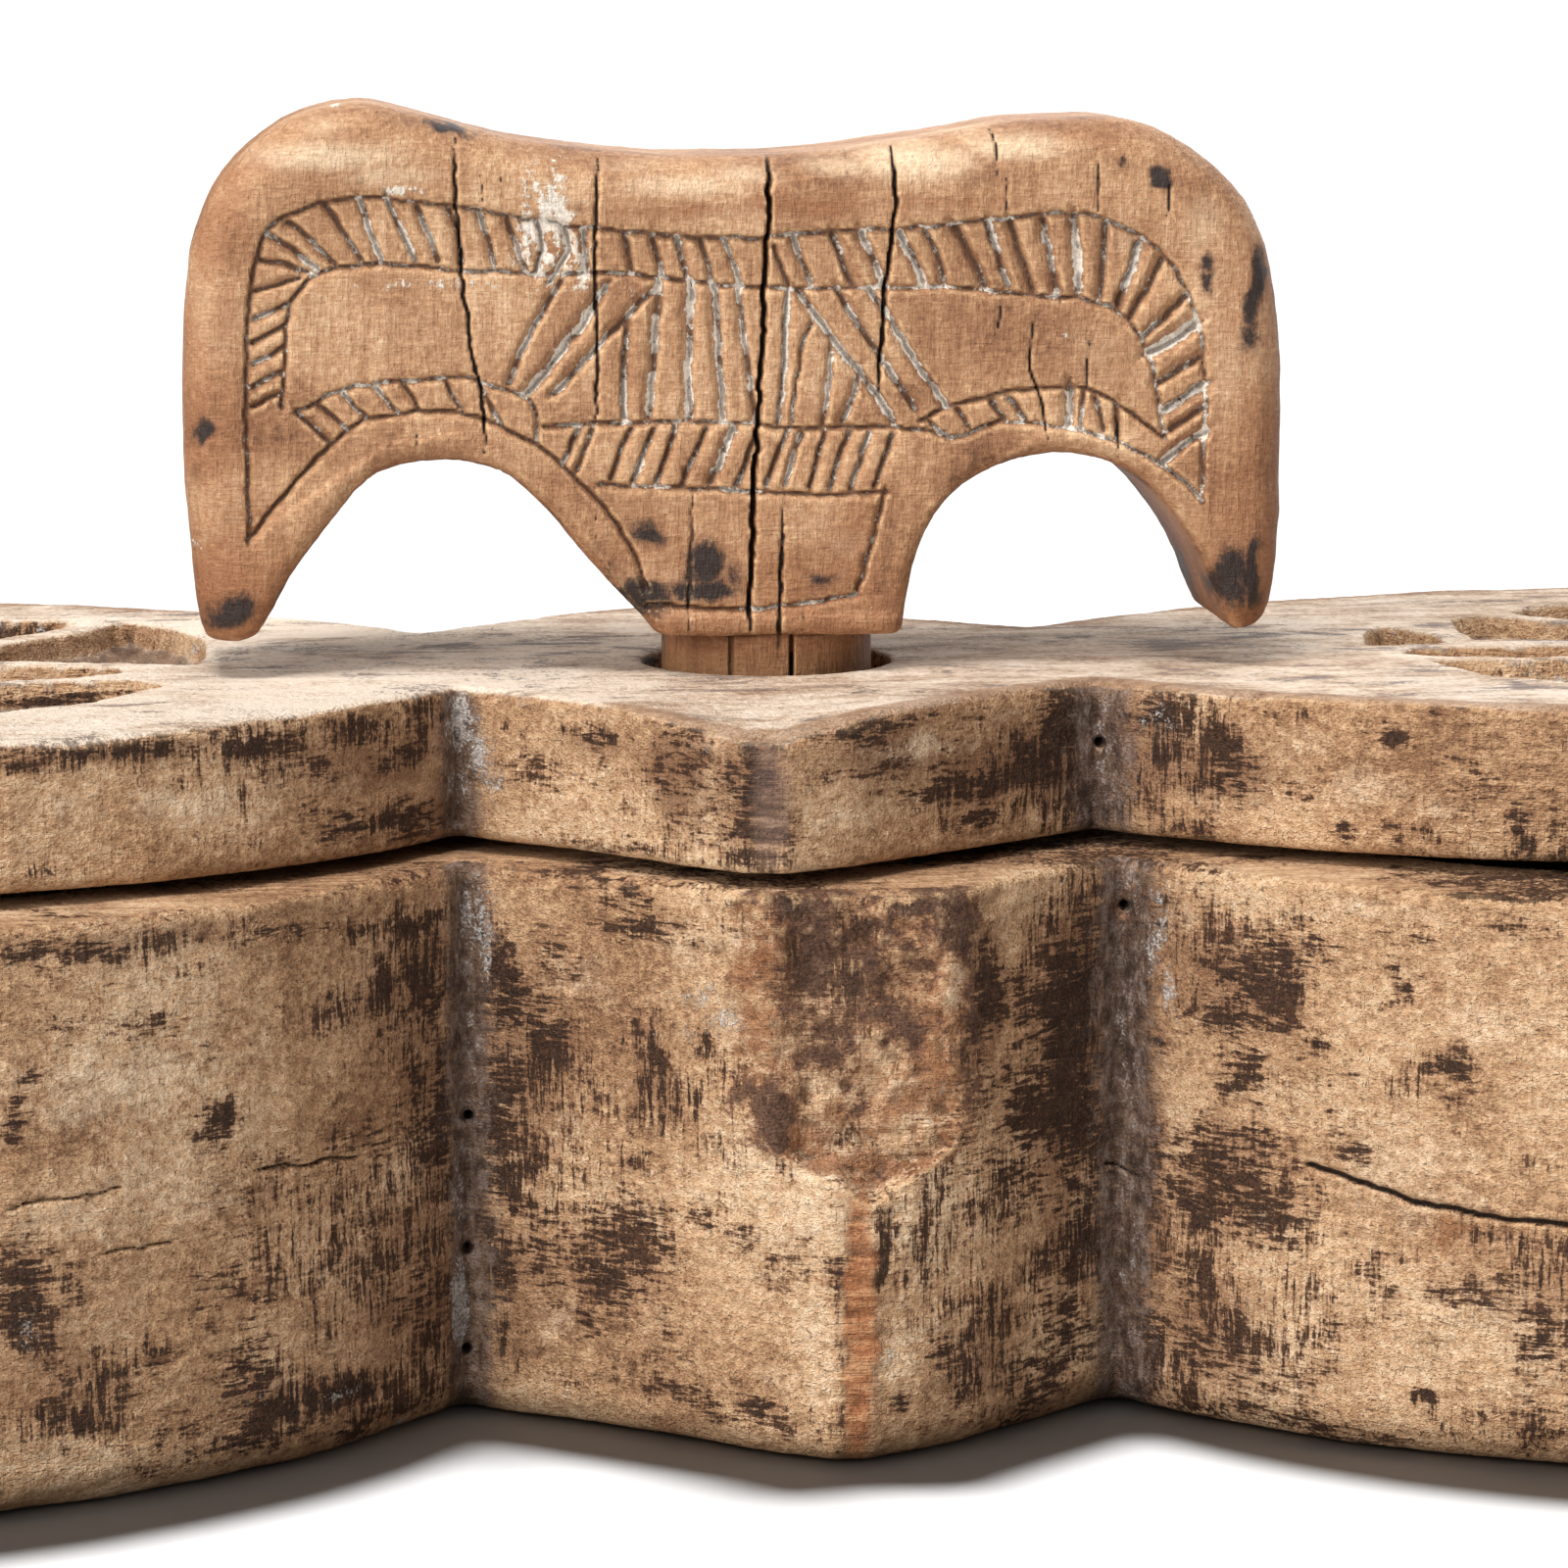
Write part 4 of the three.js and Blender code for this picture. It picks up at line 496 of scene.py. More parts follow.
def build_handle():
    q = 1.0
    X = axis((-86.5, 76, 0.33 * q))
    Y = axis((-19.6, -9.5, 0.5 * q), (-9.5, 19.6, 1.15 * q))
    Z = axis((1.5, 103.0, 1.3 * q), (103.0, 187.6, 0.36 * q))
    top = np.searchsorted(Z, 103.0)
    gx, gz = X.astype(np.float32), Z[top:].astype(np.float32)
    x, z = gx[:, None], gz[None, :]
    wob = 0.22 * fbm(x * 0.12, 0.0, z * 0.12, 2, 5)
    poly = ARCH_L + chaikin(OUTER, 1) + ARCH_R
    s = poly_sdf(x, z, poly)
    groups = {"outer": [OUTER], "arch": [ARCH_L, ARCH_R], "foot": [[ARCH_R[-1], ARCH_L[0]], [ARCH_L[-1], OUTER[0]], [OUTER[-1], ARCH_R[0]]]}
    dist = {k: np.minimum.reduce([line_dist(x, z, chaikin(p, 1) if k != "foot" else p) for p in v]) for k, v in groups.items()}
    least = np.minimum.reduce(list(dist.values()))
    # knife-cut pattern, cracks and recesses of the front, as depth maps over x, z
    D = np.zeros(s.shape, np.float32)
    lime = np.zeros(s.shape, np.float32)
    line = np.zeros(s.shape, np.float32)
    wx_ = x + 0.25 * fbm(x * 0.5, 3.0, z * 0.5, 2, 21)
    wz_ = z + 0.25 * fbm(x * 0.5, 9.0, z * 0.5, 2, 22)
    for n, (kind, width, fill, pts) in enumerate(STROKES):
        pts = [tuple(p) for p in pts]
        xs, zs = [p[0] for p in pts], [p[1] for p in pts]
        i0, i1 = np.searchsorted(gx, (min(xs) - 3, max(xs) + 3))
        k0, k1 = np.searchsorted(gz, (min(zs) - 3, max(zs) + 3))
        sl = (slice(i0, i1), slice(k0, k1))
        px, pz = wx_[sl], wz_[sl]
        if kind == "b":
            gm, g = 1.05, cut(px, pz, pts, 0.36, 0.85 * width, 1.05)
        else:
            gm = 0.6 + 0.36 * width
            g = cut(px, pz, pts, 0.36 * width, 0.92 * width, gm, side=1 if n % 5 else -1)
        D[sl] = np.maximum(D[sl], g)
        u = g / gm
        m = np.clip((u - 0.42) / 0.3, 0, 1) * max(fill, 0.42 + 0.38 * math.sin(n * 2.4))
        lime[sl] = np.maximum(lime[sl], m)
        # line: darker colour in the deeper part of each cut, painted shade
        line[sl] = np.maximum(line[sl], np.clip((u - 0.30) / 0.5, 0, 1))
    # the carved panel lies a little below the rounded border of the board
    panel = [tuple(p) for p in STROKES[0][3]] + [tuple(p) for p in STROKES[1][3]]
    inside = step(0.2, -0.8, poly_sdf(x, z, panel + [(61.5, 128.2), (50, 137), (40, 139), (22, 128), (18, 112), (-19, 112), (-30, 128), (-45, 139), (-56, 137)]))
    D = D + 0.45 * inside + 0.10 * fbm(x * 0.16, 1.0, z * 0.16, 2, 31)
    # chip marks of the knife over the face
    D = D + 0.10 * np.abs(fbm(x * 0.35, 2.0, z * 0.22, 2, 33))
    K = np.zeros(s.shape, np.float32)
    KD = np.zeros(s.shape, np.float32)
    for n, (w, pts) in enumerate(CRACKS):
        pts = [tuple(p) for p in pts]
        zs = [p[1] for p in pts]
        z0, z1 = min(zs), max(zs)
        jag = 0.35 * fbm(n * 7.3, z * 0.55, 0.0, 3, 41)
        d = line_dist(x + jag, np.broadcast_to(z, x.shape[:1] + z.shape[1:]), pts)
        taper = 0.35 + 0.65 * step(0, 5, z - z0) * step(0, 6, z1 - z)
        hw = (0.08 + 0.24 * w) * taper
        K = np.maximum(K, np.clip(1.6 * (1 - d / (hw + 0.09)), 0, 1) * min(1.0, 0.5 + 0.8 * w))
        KD = np.maximum(KD, np.clip(1.3 * (1 - d / (hw + 0.14)), 0, 1) * (0.3 + 3.0 * max(0.0, w - 0.3)) * taper)
    D = D + KD
    F2, parts = {}, []
    for k, (R, d) in {"outer": (8.0, 7.0), "arch": (4.0, 3.6), "foot": (1.8, 1.8)}.items():
        t = np.where(s < 0, dist[k], np.where(dist[k] <= least + 1e-3, -dist[k], dist[k]))
        t = t - wob - 0.3
        F2[k] = (np.clip(1 - t / R, 0, None), R, d)
    nx, ny, nz = len(X), len(Y), len(Z)
    F = np.full((nx, ny, nz), 50, np.float32)
    back = np.zeros(s.shape, np.float32)
    for kind, width, fill, pts in STROKES[:2]:
        back = np.maximum(back, cut(wx_, wz_, [tuple(p) for p in pts], 0.5, 1.0, 0.8))
    back = back + 0.5 * KD * (fbm(x * 0.03, 5.0, z * 0.02, 1, 44) > -0.2) + 0.12 * fbm(x * 0.16, 7.0, z * 0.16, 2, 35)
    for j, y in enumerate(Y):
        half = abs(float(y)) + 0.25 + (D if y < 0 else back) * float(step(1.0, 9.0, np.array(abs(y))))
        fs = []
        for k, (u, R, d) in F2.items():
            v = np.clip((half - (18.0 - d)) / d, 0, None)
            fs.append((np.sqrt(u * u + v * v) - 1) * (R * u + d * v + 1e-3 * min(R, d)) / (u + v + 1e-3))
        F[:, j, top:] = meet(meet(fs[0], fs[1], 1.2), fs[2], 1.0)
    # peg, one piece with the board
    r = np.sqrt(X[:, None] ** 2 + Y[None, :] ** 2)
    crack = np.clip(1.3 * (1 - np.abs(X[:, None] - 2.2) / 0.38), 0, 1) * (Y[None, :] < -6) * 2.0
    crack2 = np.clip(1.3 * (1 - np.abs(X[:, None] + 6.4) / 0.35), 0, 1) * (Y[None, :] < -6) * 0.8
    peg2 = r - 15.35 + 0.12 * fbm(X[:, None] * 0.3, Y[None, :] * 0.3, 0, 2, 51)
    peg = peg2[:, :, None] + (crack + crack2)[:, :, None] * (Z[None, None, :] > 70)
    peg = peg + 0.10 * noise(X[:, None, None] * 0.25, Y[None, :, None] * 0.25, Z[None, None, :] * 0.08, 52)
    peg = meet(peg, np.broadcast_to(3.1 - Z, peg.shape), 0.8)
    peg = np.maximum(peg, Z[None, None, :] - 116.0)
    F = np.minimum(F, peg)
    slot_ = np.maximum(np.maximum(np.abs(X)[:, None, None] - 3.35, np.abs(Z - 10.25)[None, None, :] - 4.25), -40)
    F = np.maximum(F, -np.broadcast_to(slot_, F.shape))
    V, Q = nets(F, X, Y, Z)
    N = normals(V, Q)
    cur = curvature(V, Q, N)
    vx, vy, vz = V.T
    onb = vz > 103.2
    front = step(-10, -14, vy) * onb
    n_fibre = fbm(vx * 1.4, vy * 1.4, vz * 0.12, 2, 61)
    V = V + N * (0.05 * n_fibre + 0.05 * fbm(vx * 0.5, vy * 0.5, vz * 0.5, 2, 62))[:, None]
    sm = lambda M: np.where(onb, sample(M, gx, gz, vx, np.maximum(vz, gz[0])), 0)
    gl, ll, kk = sm(lime) * front, sm(line) * front, sm(K) * np.where(vy < 0, step(-2, -12, vy) * 1.0, 0.5 * (back.mean() > 0))
    dust = 0.55 + 0.75 * fbm(vx * 0.55, vy * 0.5, vz * 0.35, 3, 63)
    limef = np.clip(gl * np.clip(dust, 0, 1.2) * 1.25, 0, 1)
    fy = step(0, -8, vy)
    limef = np.maximum(limef, fy * spots(vx, vz, HLIME) * np.clip(0.6 + 0.9 * fbm(vx * 0.9, 0, vz * 0.6, 3, 64), 0, 1))
    backm = 1 - fy
    rnd_dark = np.clip(fbm(vx * 0.055, vy * 0.055, vz * 0.055, 3, 65) * 2.2 - 0.5, 0, 1)
    hx_ = vx + 1.3 * fbm(vx * 0.3, vy * 0.3, vz * 0.3, 2, 70)
    hz_ = vz + 1.4 * fbm(vx * 0.3, vy * 0.3, vz * 0.3, 2, 71)
    dark = np.maximum(fy * spots(hx_, hz_, HDARK, 1.45), backm * rnd_dark * 0.9)
    # painted shade: the lowest few millimetres of both outer legs, where they stand on the lid, are darkened
    foot = step(113, 108.5, vz) * onb * (np.abs(vx) > 40)
    dark = np.maximum(dark, 0.55 * foot)
    # painted shade: faces inside the arches and faces turned downwards are given darker, browner colour
    inner = onb * step(0.75, 0.35, np.abs(N[:, 1])) * (vz < 136) * (np.abs(vx + 4) < 73)
    underside_shade = np.maximum(step(0.3, 0.9, -N[:, 2]) * onb * 0.5, 0.8 * inner)
    dark = np.maximum(dark, inner * np.clip(0.45 + 1.2 * fbm(vx * 0.12, vy * 0.12, vz * 0.12, 3, 72), 0, 1) * 0.7)
    # brown: the listed patches and the back's brown are the wood's own colour; the browning towards both ends of the
    # board, low on it and on the stem, and the underside_shade, is painted shade of light from above
    brown = np.maximum.reduce([fy * spots(vx + 1.5 * fbm(vx * 0.15, vy * 0.15, vz * 0.15, 2, 68), vz + 1.5 * fbm(vx * 0.15, vy * 0.15, vz * 0.15, 2, 69), HBROWN), 0.62 * onb * step(54, 78, np.abs(vx + 4)) + 0.35 * onb * step(131, 116, vz) + 0.3 * onb * step(136, 128, vz) * step(32, 24, np.abs(vx + 2)), backm * np.clip(0.5 + fbm(vx * 0.04, vy * 0.05, vz * 0.04, 2, 66), 0, 1) * 0.6, underside_shade])
    cream = np.maximum(fy * spots(vx, vz, HCREAM), backm * np.clip(fbm(vx * 0.04, vy * 0.05, vz * 0.03, 2, 67) + 0.2, 0, 1) * 0.8)
    pegz = (vz < 106.5) & (vx**2 + vy**2 < 16.2**2)
    kp = np.clip(1.4 * (1 - np.abs(vx - 2.2) / 0.42), 0, 1) * (vy < -5) * pegz
    kk = np.maximum(kk, kp)
    attrs = {"dark": dark, "brown": brown, "cream": cream, "lime": limef, "line": np.clip(ll * 0.9, 0, 1), "crack": kk, "edge": 0.5 + 0.5 * cur, "peg": pegz.astype(np.float32)}
    ob = mesh_object("yoke_handle_carved", V, Q, attrs, MAT["handle"])
    hide = ((vz < 80) | ((vy > -8) & (np.abs(cur) < 0.35))).astype(float)
    thin_out(ob, hide, 0.62)
    return ob


# ---- outlines of box and lid --------------------------------------------------------------------------


def lobe_side(side, end, b, notch, n=1.7, steps=40):
    p, s = 2 / n, (1 if b > 0 else -1)
    reach = abs(abs(notch[0]) - 138)
    a_in = reach / (1 - abs(notch[1] / b) ** n) ** (1 / n)
    pts = []
    for i in range(steps + 1):
        t = i / steps * math.pi / 2
        pts.append((side * (138 + end * max(0.0, math.cos(t)) ** p), b * math.sin(t) ** p))
    tn = math.asin(abs(notch[1] / b) ** (n / 2))
    for i in range(1, steps):
        t = math.pi / 2 + (tn - math.pi / 2) * i / steps
        pts.append((side * (138 - a_in * max(0.0, math.cos(t)) ** p), s * abs(b) * math.sin(t) ** p))
    pts.append(tuple(notch))
    return pts


def outline(end, fl, fpts, fr, br, bpts, bl):
    a = lobe_side(-1, end, -fl[0], fl[1])
    b = lobe_side(1, end, -fr[0], fr[1])[::-1]
    c = lobe_side(1, end, br[0], br[1])
    d = lobe_side(-1, end, bl[0], bl[1])[::-1]
    return (a + fpts + b + c[1:] + bpts + d)[:-1]


BODY = outline(91.6, (87.6, (-46, -34.3)), [(-33, -43.2), (-22, -51.0), (-10, -60.0), (2.5, -67.0), (8.5, -67.3), (15.5, -64.5), (24, -59.3), (34, -50.2)], (87.6, (46.5, -39.5)), (87.6, (46, 36)), [(34, 45.4), (23, 53.0), (11, 61.3), (3, 66), (-3, 66), (-11, 61.3), (-23, 53.0), (-34, 45.4)], (87.6, (-46, 36)))
LID = outline(83.6, (72.8, (-46.5, -25)), [(-29, -40), (-16, -53), (-9.5, -59.3), (-2.5, -60), (7, -55.5), (26, -41.5)], (67.8, (44.5, -28)), (74.8, (43, 33)), [(23, 48), (8, 58.5), (-5, 66), (-11, 66), (-22, 59.5), (-36, 48.5)], (82.8, (-50, 36)))


def wall_marks(x, z, seed):
    """Tool marks of a carved upright wall: shallow scoops across the grain and fine ripples along it."""
    m = 0.42 * fbm(x * 0.045, seed, z * 0.05, 2, seed)
    m = m + 0.22 * np.abs(noise(x * 0.19, seed, z * 0.045, seed + 1))
    m = m + 0.15 * fbm(x * 0.22, seed, z * 0.8, 2, seed + 2)
    m = m + 0.12 * fbm(x * 0.5, seed, z * 0.5, 2, seed + 3)
    return m


def build_body():
    q = 1.0
    X = axis((-232, -118, 1.7 * q), (-118, 118, 0.6 * q), (118, 232, 1.7 * q))
    Y = axis((-90, -28, 0.62 * q), (-28, 90, 1.7 * q))
    Z = axis((-1.2, 33.6, 0.66 * q), (33.6, 44.4, 0.33 * q), (44.4, 72, 0.7 * q), (72, 83, 0.5 * q))
    gx, gz = X, Z
    x, z = X[:, None], Z[None, :]
    s2 = poly_sdf(X[:, None], Y[None, :], BODY)
    Wf = wall_marks(x, z, 71) + 0.3
    Wb = wall_marks(x, z, 81) + 0.3
    # front point: the upper half of its edge is a torn, bevelled wane with a ledge below it
    jag = 1.6 * fbm(x * 0.13, 0.0, z * 0.13, 3, 73)
    wane = step(36.8, 40.2, z + jag * 1.3 - 0.34 * np.abs(x - 8.5)) * np.clip(1.6 - np.abs(x - 7.5 + 2.2 * noise(z * 0.12, 0, x * 0.05, 97)) / 17.0, 0, 1)
    rough = step(38, 46, z) * bell(x, z, 6, 64, 19, 24) * (1.2 * np.abs(fbm(x * 0.22, 1.0, z * 0.30, 4, 74)) + 0.3 * fbm(x * 0.7, 1.0, z * 0.9, 2, 75))
    Wf = Wf + rough
    torn = 6.6 * wane + wane * (2.4 * np.abs(fbm(x * 0.13, 2.0, z * 0.12, 3, 79)) + 0.5 * fbm(x * 0.5, 2.0, z * 0.55, 3, 80) - 0.05 * (z - 60))
    # notches at the foot of the facet, and stripes cut across it
    facet = bell(x, z, 7.5, 20, 3.2, 19)
    Wf = Wf + facet * (0.30 * np.maximum(0, np.sin(z * 1.5 + 0.8 * noise(x * 0.5, 0, z * 0.3, 76))))
    # long grain cracks
    K = np.zeros(np.broadcast(x, z).shape, np.float32)
    for n, pts in enumerate(BCRACKS):
        w = (0.42, 0.3, 0.26, 0.26, 0.3)[n]
        d = line_dist(x + 0 * z, z + 0.5 * fbm(x * 0.35, n * 3.0, 0, 3, 77) + 0 * x, [tuple(p) for p in pts])
        K = np.maximum(K, np.clip(1.6 * (1 - d / (w + (0.18 if n == 0 else 0.02))), 0, 1) * (0.5 + w))
    for n, pts in enumerate(MORE_CRACKS):
        d = line_dist(x + 0 * z, z + 0.5 * fbm(x * 0.35, n * 3.0, 5, 3, 78) + 0 * x, pts)
        K = np.maximum(K, np.clip(1.2 * (1 - d / 0.4), 0, 1) * 0.0)
    Wf = Wf + 1.0 * K
    holes = np.zeros_like(K)
    for hx, hy, hz in HOLES:
        if hz < 80:
            holes = np.maximum(holes, np.clip(1.5 * (1 - np.hypot(x - hx, z - hz) / 0.95), 0, 1))
    Wf = Wf + 3.5 * holes
    # worn lower edge and dented rim
    rim = 0.5 + 0.5 * fbm(X[:, None] * 0.06, Y[None, :] * 0.06, 0.0, 3, 83)
    top = 80.2 - 0.35 * np.abs(fbm(X[:, None] * 0.05, Y[None, :] * 0.05, 0.0, 2, 84)) - 0.8 * bell(X[:, None], Y[None, :], 8, -66, 14, 10)
    a = step(-12, 12, Y)[None, :, None]
    F = s2[:, :, None] + Wf[:, None, :] * (1 - a) + Wb[:, None, :] * a
    zz = Z[None, None, :]
    F = meet(F, -Y[None, :, None] - (67.9 - torn + 60.0 * step(24, 32, np.abs(x - 7.5)))[:, None, :], 0.8)
    F = meet(F, (zz - top[:, :, None]), (0.9 + 2.6 * rim**2)[:, :, None])
    foot = (4.2 + 3.2 * (0.5 + 0.5 * fbm(X[:, None] * 0.05, Y[None, :] * 0.05, 3.0, 3, 85)))
    F = meet(F, np.broadcast_to(0.0 - zz, F.shape) + 0.05, foot[:, :, None])
    for side in (-1, 1):
        t = np.linspace(0, 2 * math.pi, 65)[:-1]
        pk = [(side * (138 + (72 if math.cos(a_) < 0 else 68) * math.cos(a_)), 2 + 64 * math.sin(a_) * side) for a_ in t]
        sp = poly_sdf(X[:, None], Y[None, :], pk) + 0.5 + 0.5 * fbm(X[:, None] * 0.06, Y[None, :] * 0.06, side * 5.0, 2, 86)
        gouge = 0.45 * np.abs(noise(X[:, None] * 0.10, Y[None, :] * 0.10, 0, 87 + side))
        fl = 16.4 + gouge
        G = meet(np.broadcast_to(sp[:, :, None], F.shape), fl[:, :, None] - zz, 6.0)
        F = meet(F, -G, 0.9)
    r = np.sqrt(X[:, None] ** 2 + Y[None, :] ** 2)
    F = np.maximum(F, (15.85 - r)[:, :, None])
    gr = np.maximum(np.maximum(np.abs(X)[:, None] - 3.6, np.maximum(-24 - Y, Y - 57)[None, :])[:, :, None], zz - 14.0)
    F = np.maximum(F, -gr)
    V, Q = nets(F, X, Y, Z)
    N = normals(V, Q)
    cur = curvature(V, Q, N)
    vx, vy, vz = V.T
    fy = step(-4, -14, vy)
    outer = (np.abs(N[:, 2]) < 0.75) & (poly_sdf(vx, vy, BODY) > -7)
    rnd = fbm(vx * 0.03, vy * 0.03, vz * 0.045, 3, 91)
    V = V + N * (0.06 * fbm(vx * 0.25, vy * 0.6, vz * 1.2, 2, 92) + 0.05 * fbm(vx * 0.8, vy * 0.8, vz * 0.8, 2, 93))[:, None]
    V[:, 2] = np.maximum(V[:, 2], 0.0)
    seen = fy * (np.abs(vx) < 112) + fy * (np.abs(vx) >= 112) * step(118, 112, np.abs(vx))
    wx = vx + 3.0 * fbm(vx * 0.10, vy * 0.10, vz * 0.11, 3, 201) + 1.1 * noise(vx * 0.6, vy * 0.6, vz * 0.6, 202)
    wz = vz + 2.6 * fbm(vx * 0.10, vy * 0.10, vz * 0.11, 3, 203) + 0.9 * noise(vx * 0.6, vy * 0.6, vz * 0.6, 204)
    bel = spots(wx, wz, BDARK, 1.1)
    wild = np.clip(rnd * 1.7 + 0.12, 0, 1) * 0.85
    inner = ~outer & (vz > 14) & (vz < 79.5)
    rimtop = (N[:, 2] > 0.6) & (vz > 70)
    dark = seen * bel + (1 - seen) * wild * (0.9 if True else 1)
    dark = np.where(inner, 0.35 + 0.4 * rnd, dark)
    dark = np.where(rimtop, np.maximum(dark, 0.35 + 0.5 * fbm(vx * 0.04, vy * 0.08, 0, 2, 94)), dark)
    brown = seen * spots(wx, wz, BBROWN) + (1 - seen) * np.clip(0.4 + 0.8 * fbm(vx * 0.02, vy * 0.02, vz * 0.03, 2, 95), 0, 1) * 0.6
    cream = seen * spots(wx, wz, BCREAM) + (1 - seen) * np.clip(0.1 + fbm(vx * 0.025, vy * 0.025, vz * 0.03, 2, 96), 0, 1)
    # crease: the four notches, darkened and greyed in the material, partly grime and lime dust and partly painted shade
    crease = np.maximum.reduce([bell(vx, vy, -46, -34.3, 3.0, 4), bell(vx, vy, 47.5, -39.5, 4.2, 5), bell(vx, vy, 46, 36, 4.2, 5), bell(vx, vy, -46, 36, 4.2, 5)]) * (vz < 80)
    lime = seen * spots(vx + 0.4 * (wx - vx), vz + 0.5 * (wz - vz), BLIME)
    kk = np.where(fy > 0.5, sample(K, gx, gz, vx, vz), 0)
    hh = np.where(fy > 0.5, sample(holes, gx, gz, vx, vz), 0)
    wn = np.where(fy > 0.5, sample(wane + 0 * x, gx, gz, vx, vz) * step(-57, -60, vy), 0)
    attrs = {"dark": dark, "brown": brown, "cream": cream, "lime": lime, "crease": crease, "crack": np.maximum(kk, hh), "edge": 0.5 + 0.5 * cur, "wane": wn, "facet": np.where(fy > 0.5, bell(vx + 0.8 * noise(vz * 0.3, 0, 0, 96), vz, 6.6, 20, 2.1, 21), 0) * (vz < 38.5)}
    ob = mesh_object("box_body_carved", V, Q, attrs, MAT["box"])
    hide = ((vy > -26) | (np.abs(vx) > 119) | (vz < 0.4)) & (np.abs(cur) < 0.22) & ((vz < 0.4) | (vz > 9)) & ((vz < 73) | (N[:, 2] > 0.9))
    thin_out(ob, hide.astype(float), 0.55)
    return ob


